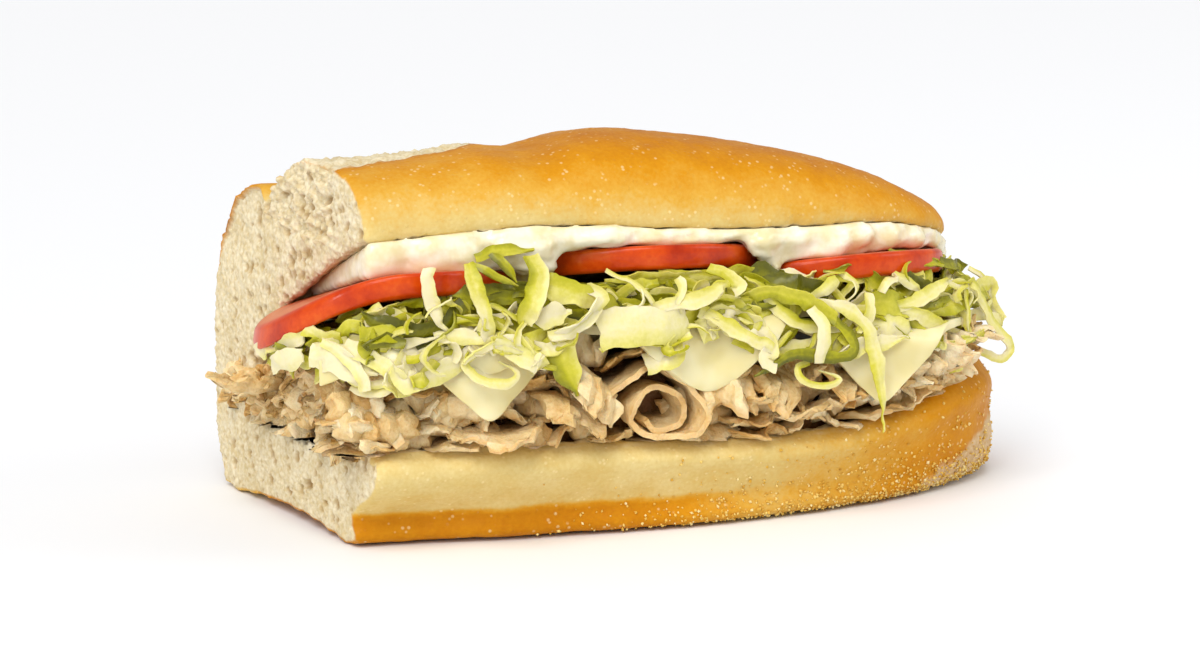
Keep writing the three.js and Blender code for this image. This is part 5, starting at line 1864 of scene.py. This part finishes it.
    def curls(self, pile: Pile, random: Random) -> None:
        """Adds shavings that curl up on themselves."""
        for _ in range(self.curl_count):
            x, h, off = random.uniform(-72, 78), random.uniform(0.05, 0.9), random.uniform(1.5, 3.0)
            centre = self.on_face(x, h, off)
            radius = random.uniform(2.0, 4.2)
            axis = unit(np.array([random.normal(0, 0.5), -1.0, random.normal(0, 0.5)]))
            a = unit(np.cross(axis, np.array([0.0, 0.0, 1.0])))
            b = np.cross(axis, a)
            start, turn = random.uniform(0, 6), random.uniform(3.2, 6.0)
            knots = []
            for share in np.linspace(0, 1, 8):
                angle = start + turn * share
                reach = radius * (1 + 0.3 * share)
                round_it = a * math.cos(angle) + b * 0.75 * math.sin(angle)
                knots.append(centre + reach * round_it + axis * 1.8 * share)
            tone = random.uniform(0.05, 0.45)
            shred = Shred(random.uniform(1.5, 2.6), (tone, tone + 0.1), tuple(knots), 0.5)
            self.strip(pile, shred, random, np.cross(axis, np.array([0.3, 0.0, 1.0])))

    def build(self) -> Object:
        """Tangles the shreds together."""
        random = np.random.default_rng(self.seed)
        pile = Pile()
        self.core(pile)
        self.tangle(pile, random)
        self.round_the_end(pile, random)
        self.round_the_heel(pile, random)
        self.curls(pile, random)
        for shred in END_SHREDS:
            self.strip(pile, shred, random, (-0.6, -0.8, 0.15))
        for shred in FRONT_SHREDS + LONE_SHREDS:
            self.strip(pile, shred, random)
        heap = pile.build("lettuce_shreds")
        points, normals = points_of(heap), normals_of(heap)
        points += normals * (0.06 * rough(points, 1.6, 2, 2.0))[:, None]
        move_points(heap, points)
        return heap


@dataclass(frozen=True)
class Lamp:
    """A large soft light, facing the sandwich: metres, watts and a hex code."""

    name: str
    place: Triple
    size: float
    power: float
    colour: str = "#FBFCFF"


@dataclass
class Studio:
    """Pale floor, soft light and the camera."""

    azimuth_deg: float = -21.0
    elevation_deg: float = 11.0
    distance: float = 0.9
    lens_mm: float = 118.8
    sensor_mm: float = 36.0
    look_at: Triple = (-0.012709, -0.023384, 0.045)
    lamps_face: Triple = (0, 0, 0.04)
    sun_shines: Triple = (0.35, 0.5, -0.8)
    sun_strength: float = 1.95
    sun_softness_deg: float = 38.0
    sun_colour: str = "#FFFEFC"
    sky_strength: float = 0.56
    sky_colour: str = "#FFFDFA"
    floor_size: float = 6.0
    floor_colour: str = "#F4F6FA"
    lamps: tuple[Lamp, ...] = (
        Lamp("front_left", (-0.7, -0.9, 0.55), 0.3, 1.5),
        Lamp("left_window", (-0.8, -0.35, 0.16), 0.13, 0.7),
        Lamp("right", (0.8, -0.4, 0.5), 0.5, 1.7),
    )

    def add(self, name: str, data: Any, place: Triple | Vector, way: Vector) -> Object:
        """Puts a camera or a light in the scene, looking one way."""
        made = bpy.data.objects.new(name, data)
        made.location = place
        made.rotation_mode = "QUATERNION"
        made.rotation_quaternion = way.to_track_quat("-Z", "Y")
        bpy.context.scene.collection.objects.link(made)
        return made

    def camera(self) -> None:
        """Sets the camera at the photograph's angle."""
        azimuth, elevation = math.radians(self.azimuth_deg), math.radians(self.elevation_deg)
        level = math.cos(elevation)
        back = Vector((math.sin(azimuth) * level, -math.cos(azimuth) * level, math.sin(elevation)))
        data = bpy.data.cameras.new("camera")
        data.lens = self.lens_mm
        data.sensor_width = self.sensor_mm
        place = Vector(self.look_at) + back * self.distance
        bpy.context.scene.camera = self.add("camera", data, place, -back)

    def light(self, lamp: Lamp) -> None:
        """Hangs a large soft light that faces the sandwich."""
        data = bpy.data.lights.new(lamp.name, "AREA")
        data.shape = "DISK"
        data.size = lamp.size
        data.energy = lamp.power
        data.color = linear(lamp.colour)[:3]
        self.add(lamp.name, data, lamp.place, Vector(self.lamps_face) - Vector(lamp.place))

    def sun(self) -> None:
        """Lights everything evenly and softly from above, in front and to the left."""
        data = bpy.data.lights.new("key", "SUN")
        data.energy = self.sun_strength
        data.angle = math.radians(self.sun_softness_deg)
        data.color = linear(self.sun_colour)[:3]
        self.add("key", data, (0, 0, 0), Vector(self.sun_shines))

    def floor(self) -> None:
        """Lays the floor."""
        deselect()
        bpy.ops.mesh.primitive_plane_add(size=self.floor_size, location=(0, 0, 0))
        floor = bpy.context.active_object
        floor.name = "floor"
        material = bpy.data.materials.new("white_paper")
        material.use_nodes = True
        shader = material.node_tree.nodes["Principled BSDF"]
        shader.inputs["Base Color"].default_value = linear(self.floor_colour)
        shader.inputs["Roughness"].default_value = 0.7
        shader.inputs["Specular IOR Level"].default_value = 0.2
        floor.data.materials.append(material)

    def world(self) -> None:
        """Fills the shadows from all round."""
        world = bpy.data.worlds.new("studio")
        world.use_nodes = True
        background = world.node_tree.nodes["Background"]
        background.inputs["Color"].default_value = linear(self.sky_colour)
        background.inputs["Strength"].default_value = self.sky_strength
        bpy.context.scene.world = world

    def build(self) -> None:
        """Sets up the camera, floor and lights."""
        self.camera()
        self.floor()
        self.world()
        self.sun()
        for lamp in self.lamps:
            self.light(lamp)
        bpy.context.scene.view_settings.view_transform = "Standard"


def main() -> None:
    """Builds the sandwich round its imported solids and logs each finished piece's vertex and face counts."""
    logging.basicConfig(level=logging.INFO, format="%(message)s")
    noise.seed_set(NOISE_SEED)
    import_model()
    deselect()
    Studio().build()
    bread = Roll()
    roll = bread.build()
    hand_over(roll, bread.finish.make(), "bread", "roll")
    grit = TraySweepings()
    hand_over(grit.build(roll), grit.finish.make(), "bread")
    smear = Mayonnaise()
    hand_over(smear.build(), smear.finish.make(), "mayonnaise", "mayonnaise")
    tomato_finish = RipeTomato().make()
    for tomato in TOMATOES:
        over = TOMATOES[2] if tomato.node == "tomato_slice_2" else None
        hand_over(tomato.build(over), tomato_finish, "tomato", tomato.node)
    cheese_finish = WhiteCheese().make()
    for cheese in CHEESES:
        hand_over(cheese.build(), cheese_finish, "cheese", cheese.node)
    meat = ShavedMeat()
    hand_over(meat.build(), meat.finish.make(), "meat", "shaved_meat", crisp_deg=CRISP_DEG)
    lettuce = ShreddedLettuce()
    hand_over(lettuce.build(), lettuce.finish.make(), "lettuce", "shredded_lettuce", crisp_deg=CRISP_DEG)


if __name__ == "__main__":
    main()
